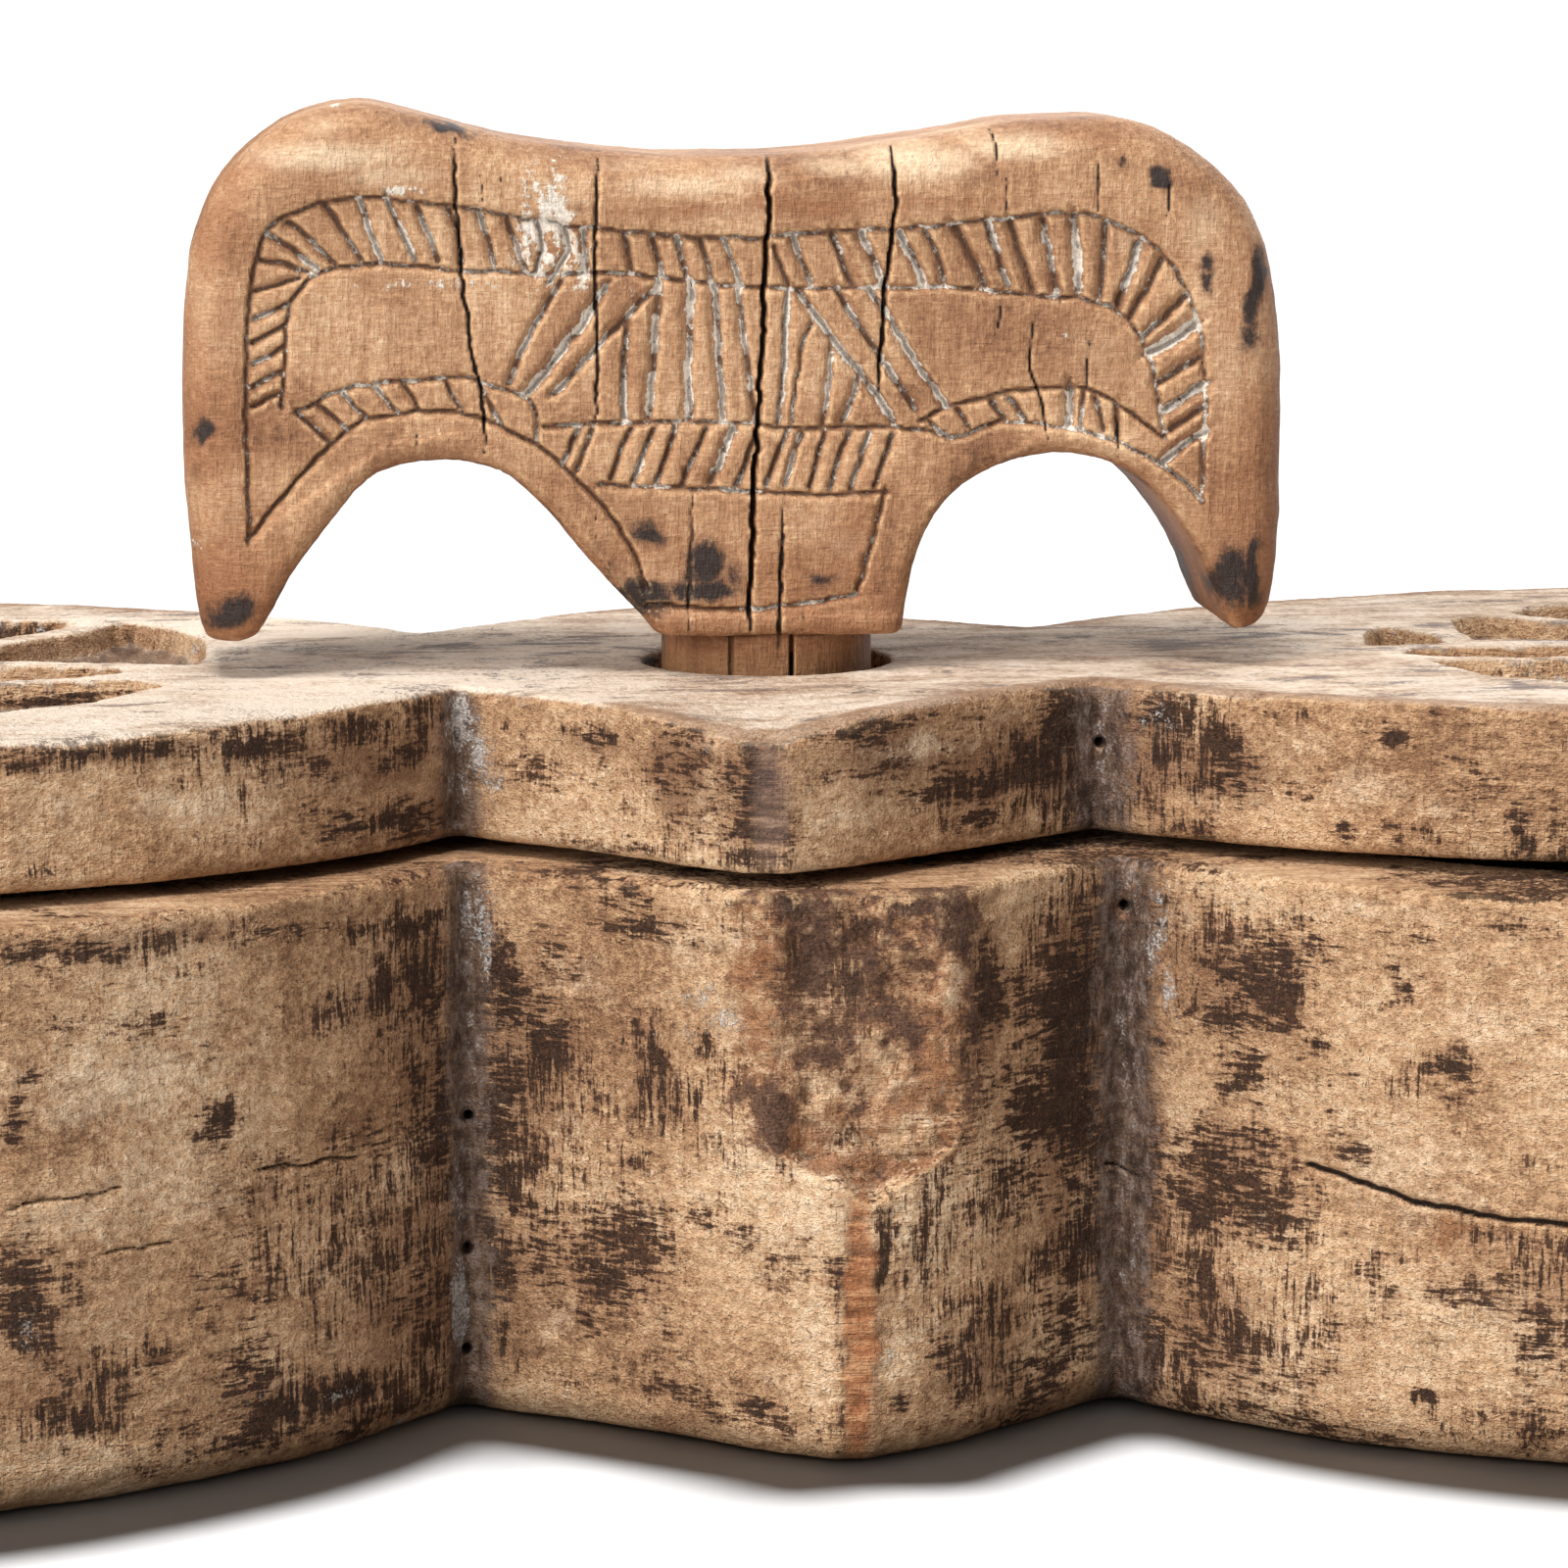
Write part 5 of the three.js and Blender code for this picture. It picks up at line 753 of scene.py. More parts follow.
def build_lid():
    q = 1.0
    X = axis((-223.5, -118, 1.5 * q), (-118, 118, 0.58 * q), (118, 223.5, 1.5 * q))
    Y = axis((-75, -18, 0.6 * q), (-18, 85, 1.15 * q))
    Z = axis((79.8, 95, 0.62 * q), (95, 106, 0.45 * q))
    x2, y2 = X[:, None], Y[None, :]
    s2 = poly_sdf(x2, y2, LID)
    x, z = X[:, None], Z[None, :]
    Wf = wall_marks(x, z, 101) * 0.9 + 0.2
    Wb = wall_marks(x, z, 111) * 0.9 + 0.2
    holes = np.zeros(np.broadcast(x, z).shape, np.float32)
    for hx, hy, hz in HOLES:
        if hz > 80:
            holes = np.maximum(holes, np.clip(1.5 * (1 - np.hypot(x - hx, z - hz) / 0.95), 0, 1))
    Wf = Wf + 3.0 * holes
    facet = bell(x, z, -5.5, 92, 4.5, 12)
    Wf = Wf + facet * 0.12 * np.maximum(0, np.sin(z * 1.9))
    tipn = bell(x2, y2, -8, -62, 13, 15)
    top = 104.0 - 2.6 * tipn - 1.3 * bell(x2, y2, -92, -66, 30, 15) - 0.5 * bell(x2, y2, -20, -40, 30, 12)
    top = top - 0.25 * np.abs(fbm(x2 * 0.03, y2 * 0.05, 0, 3, 102)) - 0.22 * np.maximum(0, fbm(x2 * 0.035, y2 * 0.32, 0, 3, 103))
    # rosettes: gouged hollows round each lobe's centre, with fluted floors
    dep = np.zeros(s2.shape, np.float32)
    ros = np.zeros(s2.shape, np.float32)
    for n, poly in enumerate(ROSETTES):
        side = -1 if poly[0][0] < 0 else 1
        cx, cy = side * 140.0, 3.0
        xs, ys = [p[0] for p in poly], [p[1] for p in poly]
        i0, i1 = np.searchsorted(X, (min(xs) - 2, max(xs) + 2))
        j0, j1 = np.searchsorted(Y, (min(ys) - 2, max(ys) + 2))
        sl = (slice(i0, i1), slice(j0, j1))
        px, py = np.broadcast_arrays(X[i0:i1, None], Y[None, j0:j1])
        px, py = px + 0.5 * fbm(px * 0.2, py * 0.2, n, 2, 104), py + 0.5 * fbm(px * 0.2, py * 0.2, n + 40, 2, 105)
        s = -poly_sdf(px, py, poly)
        th = np.arctan2(py - cy, (px - cx) * side)
        flute = 0.5 + 0.5 * np.sin(th * 46 + 1.3 * noise(px * 0.1, py * 0.1, n, 106))
        d = 5.4 * np.sqrt(np.clip(1 - (1 - np.clip(s / 5.5, 0, 1)) ** 2, 0, 1)) * step(0, 1.2, s)
        d = d - 1.1 * flute * step(0.8, 4.0, s)
        d = d + 0.35 * fbm(px * 0.5, py * 0.5, n, 2, 107) * step(0, 2, s)
        dep[sl] = np.maximum(dep[sl], np.clip(d, 0, None))
        ros[sl] = np.maximum(ros[sl], step(-0.4, 0.8, s))
    top = top - dep
    a = step(-12, 12, Y)[None, :, None]
    zz = Z[None, None, :]
    F = s2[:, :, None] + Wf[:, None, :] * (1 - a) + Wb[:, None, :] * a
    rr = 0.8 + 2.2 * (0.5 + 0.5 * fbm(x2 * 0.07, y2 * 0.07, 0, 3, 108)) ** 2 + 1.6 * tipn + 2.2 * bell(x2, y2, 44.5, -27, 6, 6)
    F = meet(F, zz - top[:, :, None], rr[:, :, None])
    r = np.sqrt(x2**2 + y2**2)
    bot = 81.9 + 0.55 * (np.abs(x2) / 200.0) ** 1.2 + 0 * y2 - 0.95 * step(33, 31, r) + 0.12 * fbm(x2 * 0.05, y2 * 0.2, 0, 2, 109)
    bot = np.maximum(bot, np.where(r < 33, 80.85, 81.75))
    rb = 0.8 + 1.5 * (0.5 + 0.5 * fbm(x2 * 0.06, y2 * 0.06, 4, 3, 110))
    F = meet(F, bot[:, :, None] - zz, rb[:, :, None])
    hole = (18.05 + 0.15 * fbm(x2 * 0.15, y2 * 0.15, 0, 2, 112) - r)[:, :, None] + 0 * zz
    F = meet(F, hole, 1.1)
    V, Q = nets(F, X, Y, Z)
    N = normals(V, Q)
    cur = curvature(V, Q, N)
    vx, vy, vz = V.T
    topm = step(0.45, 0.85, N[:, 2])
    V = V + N * (0.05 * fbm(vx * 0.22, vy * 0.9, vz * 1.2, 2, 113) + 0.05 * fbm(vx * 0.8, vy * 0.8, vz * 0.8, 2, 114))[:, None]
    V[:, 2] = np.clip(V[:, 2], 80.82, 104.2)
    fy = step(-4, -12, vy)
    side = 1 - topm
    seen = fy * side * step(118, 111, np.abs(vx))
    rnd = fbm(vx * 0.03, vy * 0.03, vz * 0.05, 3, 115)
    wx = vx + 2.4 * fbm(vx * 0.12, vy * 0.12, vz * 0.13, 3, 211) + 0.9 * noise(vx * 0.6, vy * 0.6, vz * 0.6, 212)
    wy = vy + 2.4 * fbm(vx * 0.12, vy * 0.12, vz * 0.13, 3, 215) + 0.9 * noise(vx * 0.6, vy * 0.6, vz * 0.6, 216)
    wz = vz + 1.5 * fbm(vx * 0.12, vy * 0.12, vz * 0.13, 3, 213) + 0.6 * noise(vx * 0.6, vy * 0.6, vz * 0.6, 214)
    dark = seen * spots(wx, wz, LDARK, 1.2) + side * (1 - seen) * np.clip(rnd * 1.6 + 0.1, 0, 1) * 0.85
    rd = np.clip(fbm(vx * 0.02, vy * 0.06, 0, 3, 116) * 1.6 - 0.15, 0, 1)
    tseen = step(118, 108, np.abs(vx)) * (vy < 60)
    dark = dark + topm * np.maximum(tseen * spots(wx, wy, TDARK), (0.35 + 0.5 * (1 - tseen)) * rd)
    brown = seen * spots(wx, wz, LBROWN, 1.25) * 1.2 + side * (1 - seen) * np.clip(0.4 + 0.8 * fbm(vx * 0.02, vy * 0.02, vz * 0.03, 2, 117), 0, 1) * 0.6
    cream = seen * spots(wx, wz, LCREAM) + topm * np.maximum(spots(wx, wy, TCREAM), np.clip(0.25 + 0.8 * fbm(vx * 0.015, vy * 0.04, 0, 2, 118), 0, 1) * 0.7)
    lime = seen * spots(vx, vz, LLIME)
    # rosette hollows, to be darkened in the material, more so where deeper: painted shade
    rosv = sample(ros, X, Y, vx, vy) * (vz > 96)
    depv = sample(dep, X, Y, vx, vy) * (vz > 96)
    lime = np.maximum(lime, rosv * np.clip(fbm(vx * 0.2, vy * 0.2, vz * 0.3, 3, 119) * 1.6 - 0.1, 0, 1) * 0.9)
    grey = topm * np.maximum(tseen * spots(wx, wy, TGREY), (0.25 + 0.6 * (1 - tseen)) * np.clip(0.2 + fbm(vx * 0.012, vy * 0.05, 3, 3, 120), 0, 1))
    # painted highlight and shade: towards the left the lid top is made less grey and more cream, towards the right
    # greyer
    grey = grey * (1 - 0.6 * step(-22, -50, vx) * tseen) + 0.2 * topm * tseen * step(48, 70, vx)
    cream = cream + 0.5 * topm * tseen * step(-14, -40, vx)
    # crease: the lid's notches, darkened and greyed in the material, partly grime and lime dust and partly painted
    # shade
    crease = np.maximum.reduce([bell(vx, vy, -46.5, -25, 3.0, 4), bell(vx, vy, 45.5, -28, 4.2, 5), bell(vx, vy, 43, 33, 3, 4), bell(vx, vy, -50, 36, 3, 4)]) * side
    hh = np.where(fy > 0.5, sample(holes, X, Z, vx, vz), 0)
    # rim: brown band just inside the lid top's edge, weakened on the left front as a painted highlight
    attrs = {"dark": dark, "brown": brown, "cream": cream, "lime": lime, "grey": grey, "crease": crease, "crack": hh, "edge": 0.5 + 0.5 * cur, "rosette": rosv * (0.5 + 0.1 * depv), "top": topm, "rim": topm * step(-7.0, -1.0, poly_sdf(vx, vy, LID)) * (1 - 0.75 * tseen * step(-14, -36, vx)), "facet": np.where(fy > 0.5, bell(vx, vz, -5.0, 92, 3.4, 12), 0) * side * 0.7}
    ob = mesh_object("swivel_lid_carved", V, Q, attrs, MAT["lid"])
    rim_ = poly_sdf(vx, vy, LID) > -5.0
    hide = (((N[:, 2] < -0.8) & ~rim_ & (vx**2 + vy**2 > 42**2)) | ((N[:, 2] > 0.8) & (vy > 20) & ~rim_ & (vz > 103))) & (np.abs(cur) < 0.2)
    thin_out(ob, hide.astype(float), 0.7)
    return ob


def build_wedge():
    X = axis((-3.6, 3.6, 0.3))
    Y = axis((-20, 20, 0.4))
    Z = axis((5.6, 14.4, 0.3))
    x, y, z = X[:, None, None], Y[None, :, None], Z[None, None, :]
    low = 6.55 + (y + 19) / 38 * 1.1
    F = meet(np.abs(x) - 2.85 + 0.10 * fbm(x * 0.2, y * 0.08, z * 0.5, 2, 131), np.abs(y) - 18.7 + 0.5 * fbm(x * 0.5, 0, z * 0.5, 2, 132), 0.5)
    F = meet(F, z - 13.6 + 0.08 * fbm(x * 0.5, y * 0.1, 0, 2, 133), 0.5)
    F = meet(F, low - z, 0.5)
    V, Q = nets(np.ascontiguousarray(F, np.float32), X, Y, Z)
    N = normals(V, Q)
    attrs = {"dark": 0.3 + 0.4 * fbm(V[:, 0] * 0.2, V[:, 1] * 0.1, V[:, 2] * 0.2, 2, 134), "edge": 0.5 + 0.5 * curvature(V, Q, N)}
    return mesh_object("locking_wedge_split", V, Q, attrs, MAT["wedge"])

# ---- materials ---------------------------------------------------------------------------------------


def rgb(r, g, b):
    f = lambda c: ((c / 255 + 0.055) / 1.055) ** 2.4 if c > 10 else c / 255 / 12.92
    return (f(r), f(g), f(b), 1.0)


class Graph:
    """A small helper that writes a procedural material, with object coordinates in millimetres."""

    def __init__(self, name):
        self.m = bpy.data.materials.new(name)
        self.m.use_nodes = True
        self.nt = self.m.node_tree
        self.nt.nodes.clear()
        self.out = self.new("ShaderNodeOutputMaterial")
        self.bsdf = self.new("ShaderNodeBsdfPrincipled")
        self.nt.links.new(self.bsdf.outputs[0], self.out.inputs[0])
        tc = self.new("ShaderNodeTexCoord")
        s = self.new("ShaderNodeVectorMath")
        s.operation = "SCALE"
        self.nt.links.new(tc.outputs["Object"], s.inputs[0])
        s.inputs["Scale"].default_value = 1000.0
        self.P = s.outputs[0]

    def new(self, kind):
        return self.nt.nodes.new(kind)

    def put(self, sock, v):
        if isinstance(v, bpy.types.NodeSocket):
            self.nt.links.new(v, sock)
        else:
            sock.default_value = v

    def math(self, op, a, b=0.0, clamp=False):
        n = self.new("ShaderNodeMath")
        n.operation = op
        n.use_clamp = clamp
        self.put(n.inputs[0], a)
        self.put(n.inputs[1], b)
        return n.outputs[0]

    def add(self, *terms):
        """Sum of (value, weight) terms and plain numbers."""
        out = None
        for t in terms:
            v = self.math("MULTIPLY", t[0], t[1]) if isinstance(t, tuple) else t
            out = v if out is None else self.math("ADD", out, v)
        return out

    def mul(self, a, b):
        return self.math("MULTIPLY", a, b)

    def noise(self, sx, sy, sz, detail=3.0, rough=0.55, warp=0.0, shift=0.0):
        mp = self.new("ShaderNodeMapping")
        self.nt.links.new(self.P, mp.inputs["Vector"])
        mp.inputs["Scale"].default_value = (sx, sy, sz)
        mp.inputs["Location"].default_value = (shift, shift * 0.7, shift * 1.3)
        n = self.new("ShaderNodeTexNoise")
        self.nt.links.new(mp.outputs[0], n.inputs["Vector"])
        n.inputs["Scale"].default_value = 1.0
        n.inputs["Detail"].default_value = detail
        n.inputs["Roughness"].default_value = rough
        n.inputs["Distortion"].default_value = warp
        return n.outputs["Fac"]

    def attr(self, name):
        n = self.new("ShaderNodeAttribute")
        n.attribute_type = "GEOMETRY"
        n.attribute_name = name
        return n.outputs["Fac"]

    def band(self, v, lo, hi, a=0.0, b=1.0):
        n = self.new("ShaderNodeMapRange")
        n.interpolation_type = "SMOOTHSTEP"
        self.put(n.inputs["Value"], v)
        n.inputs["From Min"].default_value = lo
        n.inputs["From Max"].default_value = hi
        n.inputs["To Min"].default_value = a
        n.inputs["To Max"].default_value = b
        return n.outputs[0]

    def ramp(self, v, *stops):
        n = self.new("ShaderNodeValToRGB")
        self.put(n.inputs[0], v)
        e = n.color_ramp.elements
        while len(e) < len(stops):
            e.new(0.5)
        for el, (p, c) in zip(e, stops):
            el.position = p
            el.color = c
        return n.outputs[0]

    def mix(self, f, a, b):
        n = self.new("ShaderNodeMix")
        n.data_type = "RGBA"
        n.clamp_factor = True
        self.put(n.inputs[0], f)
        self.put(n.inputs[6], a)
        self.put(n.inputs[7], b)
        return n.outputs[2]

    def bump(self, *layers):
        """Layers of (height, distance in metres)."""
        last = None
        for h, d in layers:
            n = self.new("ShaderNodeBump")
            self.put(n.inputs["Height"], h)
            n.inputs["Distance"].default_value = d
            n.inputs["Strength"].default_value = 1.0
            if last is not None:
                self.nt.links.new(last, n.inputs["Normal"])
            last = n.outputs[0]
        self.nt.links.new(last, self.bsdf.inputs["Normal"])


def box_like(name, top=False):
    g = Graph(name)
    grain = g.noise(0.035, 0.85, 0.85, 4, 0.6, 0.3)
    fibre = g.noise(0.22, 4.2, 4.2, 2, 0.5, 0.0, 3.1)
    blot = g.noise(0.032, 0.032, 0.04, 4, 0.55, 0.4, 7.7)
    fleck = g.noise(0.9, 0.9, 0.9, 3, 0.6, 0.0, 11.3)
    tone = g.add((blot, 0.75), (grain, 0.45), (fibre, 0.34), (fleck, 0.42), -0.50)
    col = g.ramp(tone, (0.30, rgb(134, 98, 71)), (0.42, rgb(176, 136, 101)), (0.54, rgb(206, 167, 129)), (0.70, rgb(233, 203, 168)))
    brown, cream, dark, lime = g.attr("brown"), g.attr("cream"), g.attr("dark"), g.attr("lime")
    fb = g.noise(0.10, 0.10, 0.13, 4, 0.6, 0.2, 21.0)
    wide0 = g.noise(0.035, 0.035, 0.045, 3, 0.5, 0.4, 55.0)
    bm = g.band(g.add((brown, 1.0), (fb, 0.7), (grain, 0.25), -0.47), 0.15, 0.75, 0.0, 0.8)
    col = g.mix(bm, col, g.ramp(fibre, (0.3, rgb(100, 68, 48)), (0.7, rgb(142, 102, 75))))
    cm = g.band(g.add((cream, 1.0), (fb, -0.9), (wide0, -0.6), (fleck, 0.5), 0.50), 0.2, 0.85, 0.0, 0.85)
    col = g.mix(cm, col, g.ramp(fleck, (0.3, rgb(224, 190, 154)), (0.7, rgb(246, 222, 192))))
    # dark residue left in patches, broken into a weave by old ripple marks
    hh = g.noise(0.20, 0.34, 1.5, 3, 0.65, 0.5, 31.0)
    vv = g.noise(1.35, 1.35, 0.13, 3, 0.65, 0.5, 41.0)
    bb = g.noise(0.16, 0.16, 0.18, 7, 0.76, 0.5, 51.0)
    wide = g.noise(0.035, 0.035, 0.045, 3, 0.5, 0.4, 55.0)
    fine = g.noise(1.9, 1.9, 2.1, 3, 0.6, 0.0, 61.0)
    weave = g.band(g.add((wide, 1.0), (dark, 0.35)), 0.40, 0.62, 0.35, 1.15)
    sel = g.band(g.noise(0.045, 0.045, 0.05, 2, 0.5, 0.3, 57.0), 0.42, 0.58)
    hx = g.mul(g.add((hh, 1.0), -0.5), g.add((sel, 1.0), 0.52))
    vx = g.mul(g.add((vv, 1.0), -0.5), g.add((sel, -1.0), 1.52))
    tex = g.mul(g.add((hx, 1.0), (vx, 1.0)), weave)
    m = g.add((dark, 0.72), (brown, 0.26), (wide, 0.7), (bb, 1.75), (tex, 1.15), (fine, 0.85), -1.642 + (0.03 if top else 0.0))
    stain = g.band(m, 0.0, 0.55, 0.0, 0.55)
    mid = g.band(m, 0.30, 0.44, 0.0, 0.6)
    resid = g.band(m, 0.47, 0.56, 0.0, 0.93)
    col = g.mix(stain, col, g.ramp(fb, (0.35, rgb(120, 84, 60)), (0.65, rgb(160, 118, 86))))
    col = g.mix(mid, col, g.ramp(fine, (0.35, rgb(88, 60, 44)), (0.65, rgb(126, 90, 66))))
    col = g.mix(resid, col, g.ramp(g.add((fine, 0.6), (bb, 0.4)), (0.36, rgb(30, 21, 18)), (0.5, rgb(50, 34, 26)), (0.66, rgb(90, 60, 41))))
    # fine dark pits all over
    pit = g.noise(1.2, 1.2, 1.35, 2, 0.5, 0.0, 65.0)
    col = g.mix(g.band(pit, 0.36, 0.27, 0.0, 0.5), col, rgb(84, 58, 42))
    # notches: darker and greyer, partly grime and lime dust and partly painted shade
    crease = g.attr("crease")
    dust = g.noise(0.6, 0.6, 0.34, 5, 0.72, 0.2, 71.0)
    cs = g.add((crease, 1.0), (dust, 0.9), (hh, 0.5), (fine, 0.4), -0.95)
    col = g.mix(g.band(cs, 0.10, 0.62, 0.0, 0.82), col, g.ramp(dust, (0.38, rgb(64, 49, 42)), (0.62, rgb(130, 105, 90))))
    col = g.mix(g.mul(crease, g.band(g.add((dust, 0.7), (fine, 0.5)), 0.60, 0.72, 0.0, 0.6)), col, rgb(158, 146, 140))
    lm = g.band(g.add((lime, 0.85), (dust, 1.3), (fine, 1.0), -1.16), 0.34, 0.62, 0.0, 0.78)
    col = g.mix(lm, col, g.ramp(fine, (0.35, rgb(148, 136, 130)), (0.6, rgb(216, 208, 200))))
    fac = g.attr("facet")
    band = g.noise(0.12, 0.12, 0.75, 3, 0.6, 0.2, 81.0)
    wane = g.attr("wane")
    wn = g.noise(0.16, 0.16, 0.18, 7, 0.8, 0.15, 85.0)
    up = g.band(wn, 0.40, 0.56, 0.0, 0.85)
    wane = g.band(g.add((wane, 1.0), (fb, 2.1), (fine, 0.4), -1.25), 0.30, 0.55)
    if not top:
        col = g.mix(g.mul(wane, up), col, g.ramp(fine, (0.35, rgb(122, 76, 48)), (0.6, rgb(168, 116, 80))))
        col = g.mix(g.mul(wane, g.band(g.add((wn, 1.0), (cream, -0.25), (lime, -0.4), (dark, 0.2)), 0.49, 0.62, 0.0, 0.85)), col, g.ramp(fine, (0.35, rgb(58, 42, 38)), (0.65, rgb(104, 78, 64))))
    col = g.mix(g.band(g.add((fac, 1.0), (fb, 0.5), -0.25), 0.3, 0.7, 0.0, 0.8), col, g.ramp(g.add((band, 0.8), (fine, 0.2)), *(((0.36, rgb(92, 72, 66)), (0.5, rgb(134, 106, 90)), (0.66, rgb(176, 146, 122))) if top else ((0.36, rgb(112, 66, 42)), (0.5, rgb(168, 108, 70)), (0.64, rgb(214, 160, 116))))))
    if top:
        t = g.attr("top")
        streak = g.noise(0.05, 0.40, 0.40, 5, 0.68, 0.6, 91.0)
        cloud = g.noise(0.05, 0.11, 0.11, 6, 0.72, 0.5, 95.0)
        # upward faces of the lid get a paler colour: partly the weathered top, partly painted light from above
        col = g.mix(g.mul(0.84, t), col, g.ramp(g.add((grain, 0.22), (streak, 0.15), (cloud, -0.7), (fleck, 0.35), (fb, -0.35), (cream, 0.14), 0.64), (0.36, rgb(162, 134, 112)), (0.46, rgb(204, 180, 157)), (0.60, rgb(238, 222, 205))))
        gm = g.band(g.add((g.attr("grey"), 0.45), (streak, 1.0), (cloud, 2.6), (fine, 0.7), -2.36), 0.0, 0.26, 0.0, 0.88)
        gcol = g.ramp(g.add((grain, 0.35), (fine, 0.4), (fb, 0.25)), (0.36, rgb(84, 74, 73)), (0.5, rgb(124, 111, 108)), (0.66, rgb(166, 151, 143)))
        col = g.mix(g.mul(gm, t), col, gcol)
        col = g.mix(g.mul(g.band(m, 0.42, 0.62, 0.0, 0.7), t), col, g.ramp(fine, (0.35, rgb(70, 54, 48)), (0.65, rgb(120, 96, 82))))
        rimw = g.band(g.add((g.attr("rim"), 1.0), (fb, 1.0), (fine, 0.4), -0.7), 0.30, 0.70, 0.0, 0.7)
        col = g.mix(rimw, col, g.ramp(fine, (0.35, rgb(116, 84, 62)), (0.6, rgb(176, 136, 102))))
        # painted shade in the rosette hollows: their floors darker, more so where deeper
        ro = g.attr("rosette")
        col = g.mix(g.mul(g.band(g.add((ro, 1.0), (fb, 0.7), (fine, 0.5), -0.62), 0.1, 0.6, 0.0, 0.88), t), col, g.ramp(g.add((fine, 0.5), (bb, 0.5)), (0.38, rgb(70, 50, 38)), (0.5, rgb(112, 82, 60)), (0.64, rgb(160, 126, 96))))
    edge = g.attr("edge")
    wear = g.band(edge, 0.60, 0.92, 0.0, 0.55)
    col = g.mix(g.mul(wear, g.band(fleck, 0.3, 0.6)), col, rgb(214, 176, 134))
    # darker in concave places, in hollows and grooves: painted shade
    col = g.mix(g.band(edge, 0.42, 0.16, 0.0, 0.5), col, rgb(70, 48, 36))
    crack = g.attr("crack")
    col = g.mix(g.band(crack, 0.25, 0.8, 0.0, 0.95), col, rgb(30, 20, 15))
    g.put(g.bsdf.inputs["Base Color"], col)
    g.put(g.bsdf.inputs["Roughness"], g.add((resid, -0.14), (fibre, 0.16), (lm, 0.08), 0.70))
    g.bsdf.inputs["Specular IOR Level"].default_value = 0.16
    g.bump((grain, 0.00050 if top else 0.00080), (g.add((hh, 0.5), (vv, 0.5)), 0.00070), (g.add((fibre, 0.7), (fine, 1.1), (fleck, 0.7), (resid, -0.35), (lm, 0.3)), 0.00060))
    return g.m


def handle_wood(name):
    g = Graph(name)
    grain = g.noise(0.50, 0.50, 0.045, 5, 0.66, 0.8)
    fibre = g.noise(2.8, 2.8, 0.42, 3, 0.6, 0.4, 3.1)
    scratch = g.noise(0.34, 0.8, 2.6, 4, 0.7, 1.1, 5.3)
    pores = g.noise(2.4, 2.4, 0.55, 2, 0.6, 0.0, 9.1)
    blot = g.noise(0.035, 0.05, 0.05, 4, 0.55, 0.5, 7.7)
    fleck = g.noise(1.1, 1.1, 1.1, 3, 0.6, 0.0, 11.3)
    tone = g.add((blot, 0.80), (grain, 0.34), (fibre, 0.20), (scratch, 0.30), (fleck, 0.40), -0.52)
    col = g.ramp(tone, (0.28, rgb(112, 74, 49)), (0.42, rgb(152, 108, 75)), (0.56, rgb(182, 138, 101)), (0.74, rgb(220, 184, 146)))
    brown, cream, dark, lime = g.attr("brown"), g.attr("cream"), g.attr("dark"), g.attr("lime")
    fb = g.noise(0.16, 0.16, 0.12, 4, 0.6, 0.3, 21.0)
    bm = g.band(g.add((brown, 1.0), (fb, 0.6), -0.36), 0.15, 0.95, 0.0, 0.8)
    col = g.mix(bm, col, g.ramp(scratch, (0.3, rgb(122, 74, 45)), (0.7, rgb(166, 110, 72))))
    cm = g.band(g.add((cream, 1.0), (fb, 0.5), -0.25), 0.2, 0.95, 0.0, 0.78)
    col = g.mix(cm, col, g.ramp(fleck, (0.3, rgb(218, 186, 150)), (0.7, rgb(244, 220, 188))))
    # short dark pores along the grain
    col = g.mix(g.band(pores, 0.36, 0.26, 0.0, 0.42), col, rgb(104, 66, 42))
    fine = g.noise(1.5, 1.5, 1.2, 3, 0.65, 0.0, 61.0)
    m = g.add((dark, 1.0), (fb, 0.45), (fine, 0.55), (grain, 0.2), -0.60)
    stain = g.band(m, 0.22, 0.75, 0.0, 0.7)
    black = g.band(m, 0.48, 0.82, 0.0, 0.95)
    col = g.mix(stain, col, rgb(104, 68, 46))
    col = g.mix(black, col, rgb(38, 28, 26))
    # painted shade in the knife cuts: darker where the cut is deeper
    line = g.attr("line")
    col = g.mix(g.band(g.add((line, 1.0), (fleck, 0.7), -0.35), 0.15, 0.9, 0.0, 0.8), col, rgb(92, 60, 42))
    lm = g.band(g.add((lime, 1.28), (fleck, 1.2), (fine, 0.9), -1.06), 0.30, 0.60, 0.0, 0.9)
    col = g.mix(lm, col, g.ramp(fine, (0.3, rgb(200, 186, 168)), (0.65, rgb(240, 232, 220))))
    peg = g.attr("peg")
    col = g.mix(g.mul(peg, 0.55), col, g.ramp(grain, (0.3, rgb(122, 84, 52)), (0.7, rgb(172, 126, 84))))
    edge = g.attr("edge")
    col = g.mix(g.mul(g.band(edge, 0.60, 0.95, 0.0, 0.6), g.band(fleck, 0.25, 0.6)), col, rgb(226, 186, 140))
    # darker in concave places, in hollows and grooves: painted shade
    col = g.mix(g.band(edge, 0.40, 0.12, 0.0, 0.62), col, rgb(66, 44, 32))
    crack = g.attr("crack")
    col = g.mix(g.band(crack, 0.2, 0.75, 0.0, 0.97), col, rgb(26, 17, 13))
    g.put(g.bsdf.inputs["Base Color"], col)
    g.put(g.bsdf.inputs["Roughness"], g.add((black, -0.10), (lm, 0.25), (scratch, 0.14), 0.50))
    g.bsdf.inputs["Specular IOR Level"].default_value = 0.35
    g.bump((grain, 0.00030), (scratch, 0.00024), (g.add((fibre, 0.5), (pores, 0.7), (fleck, 0.8), (lm, 0.35)), 0.00032))
    return g.m


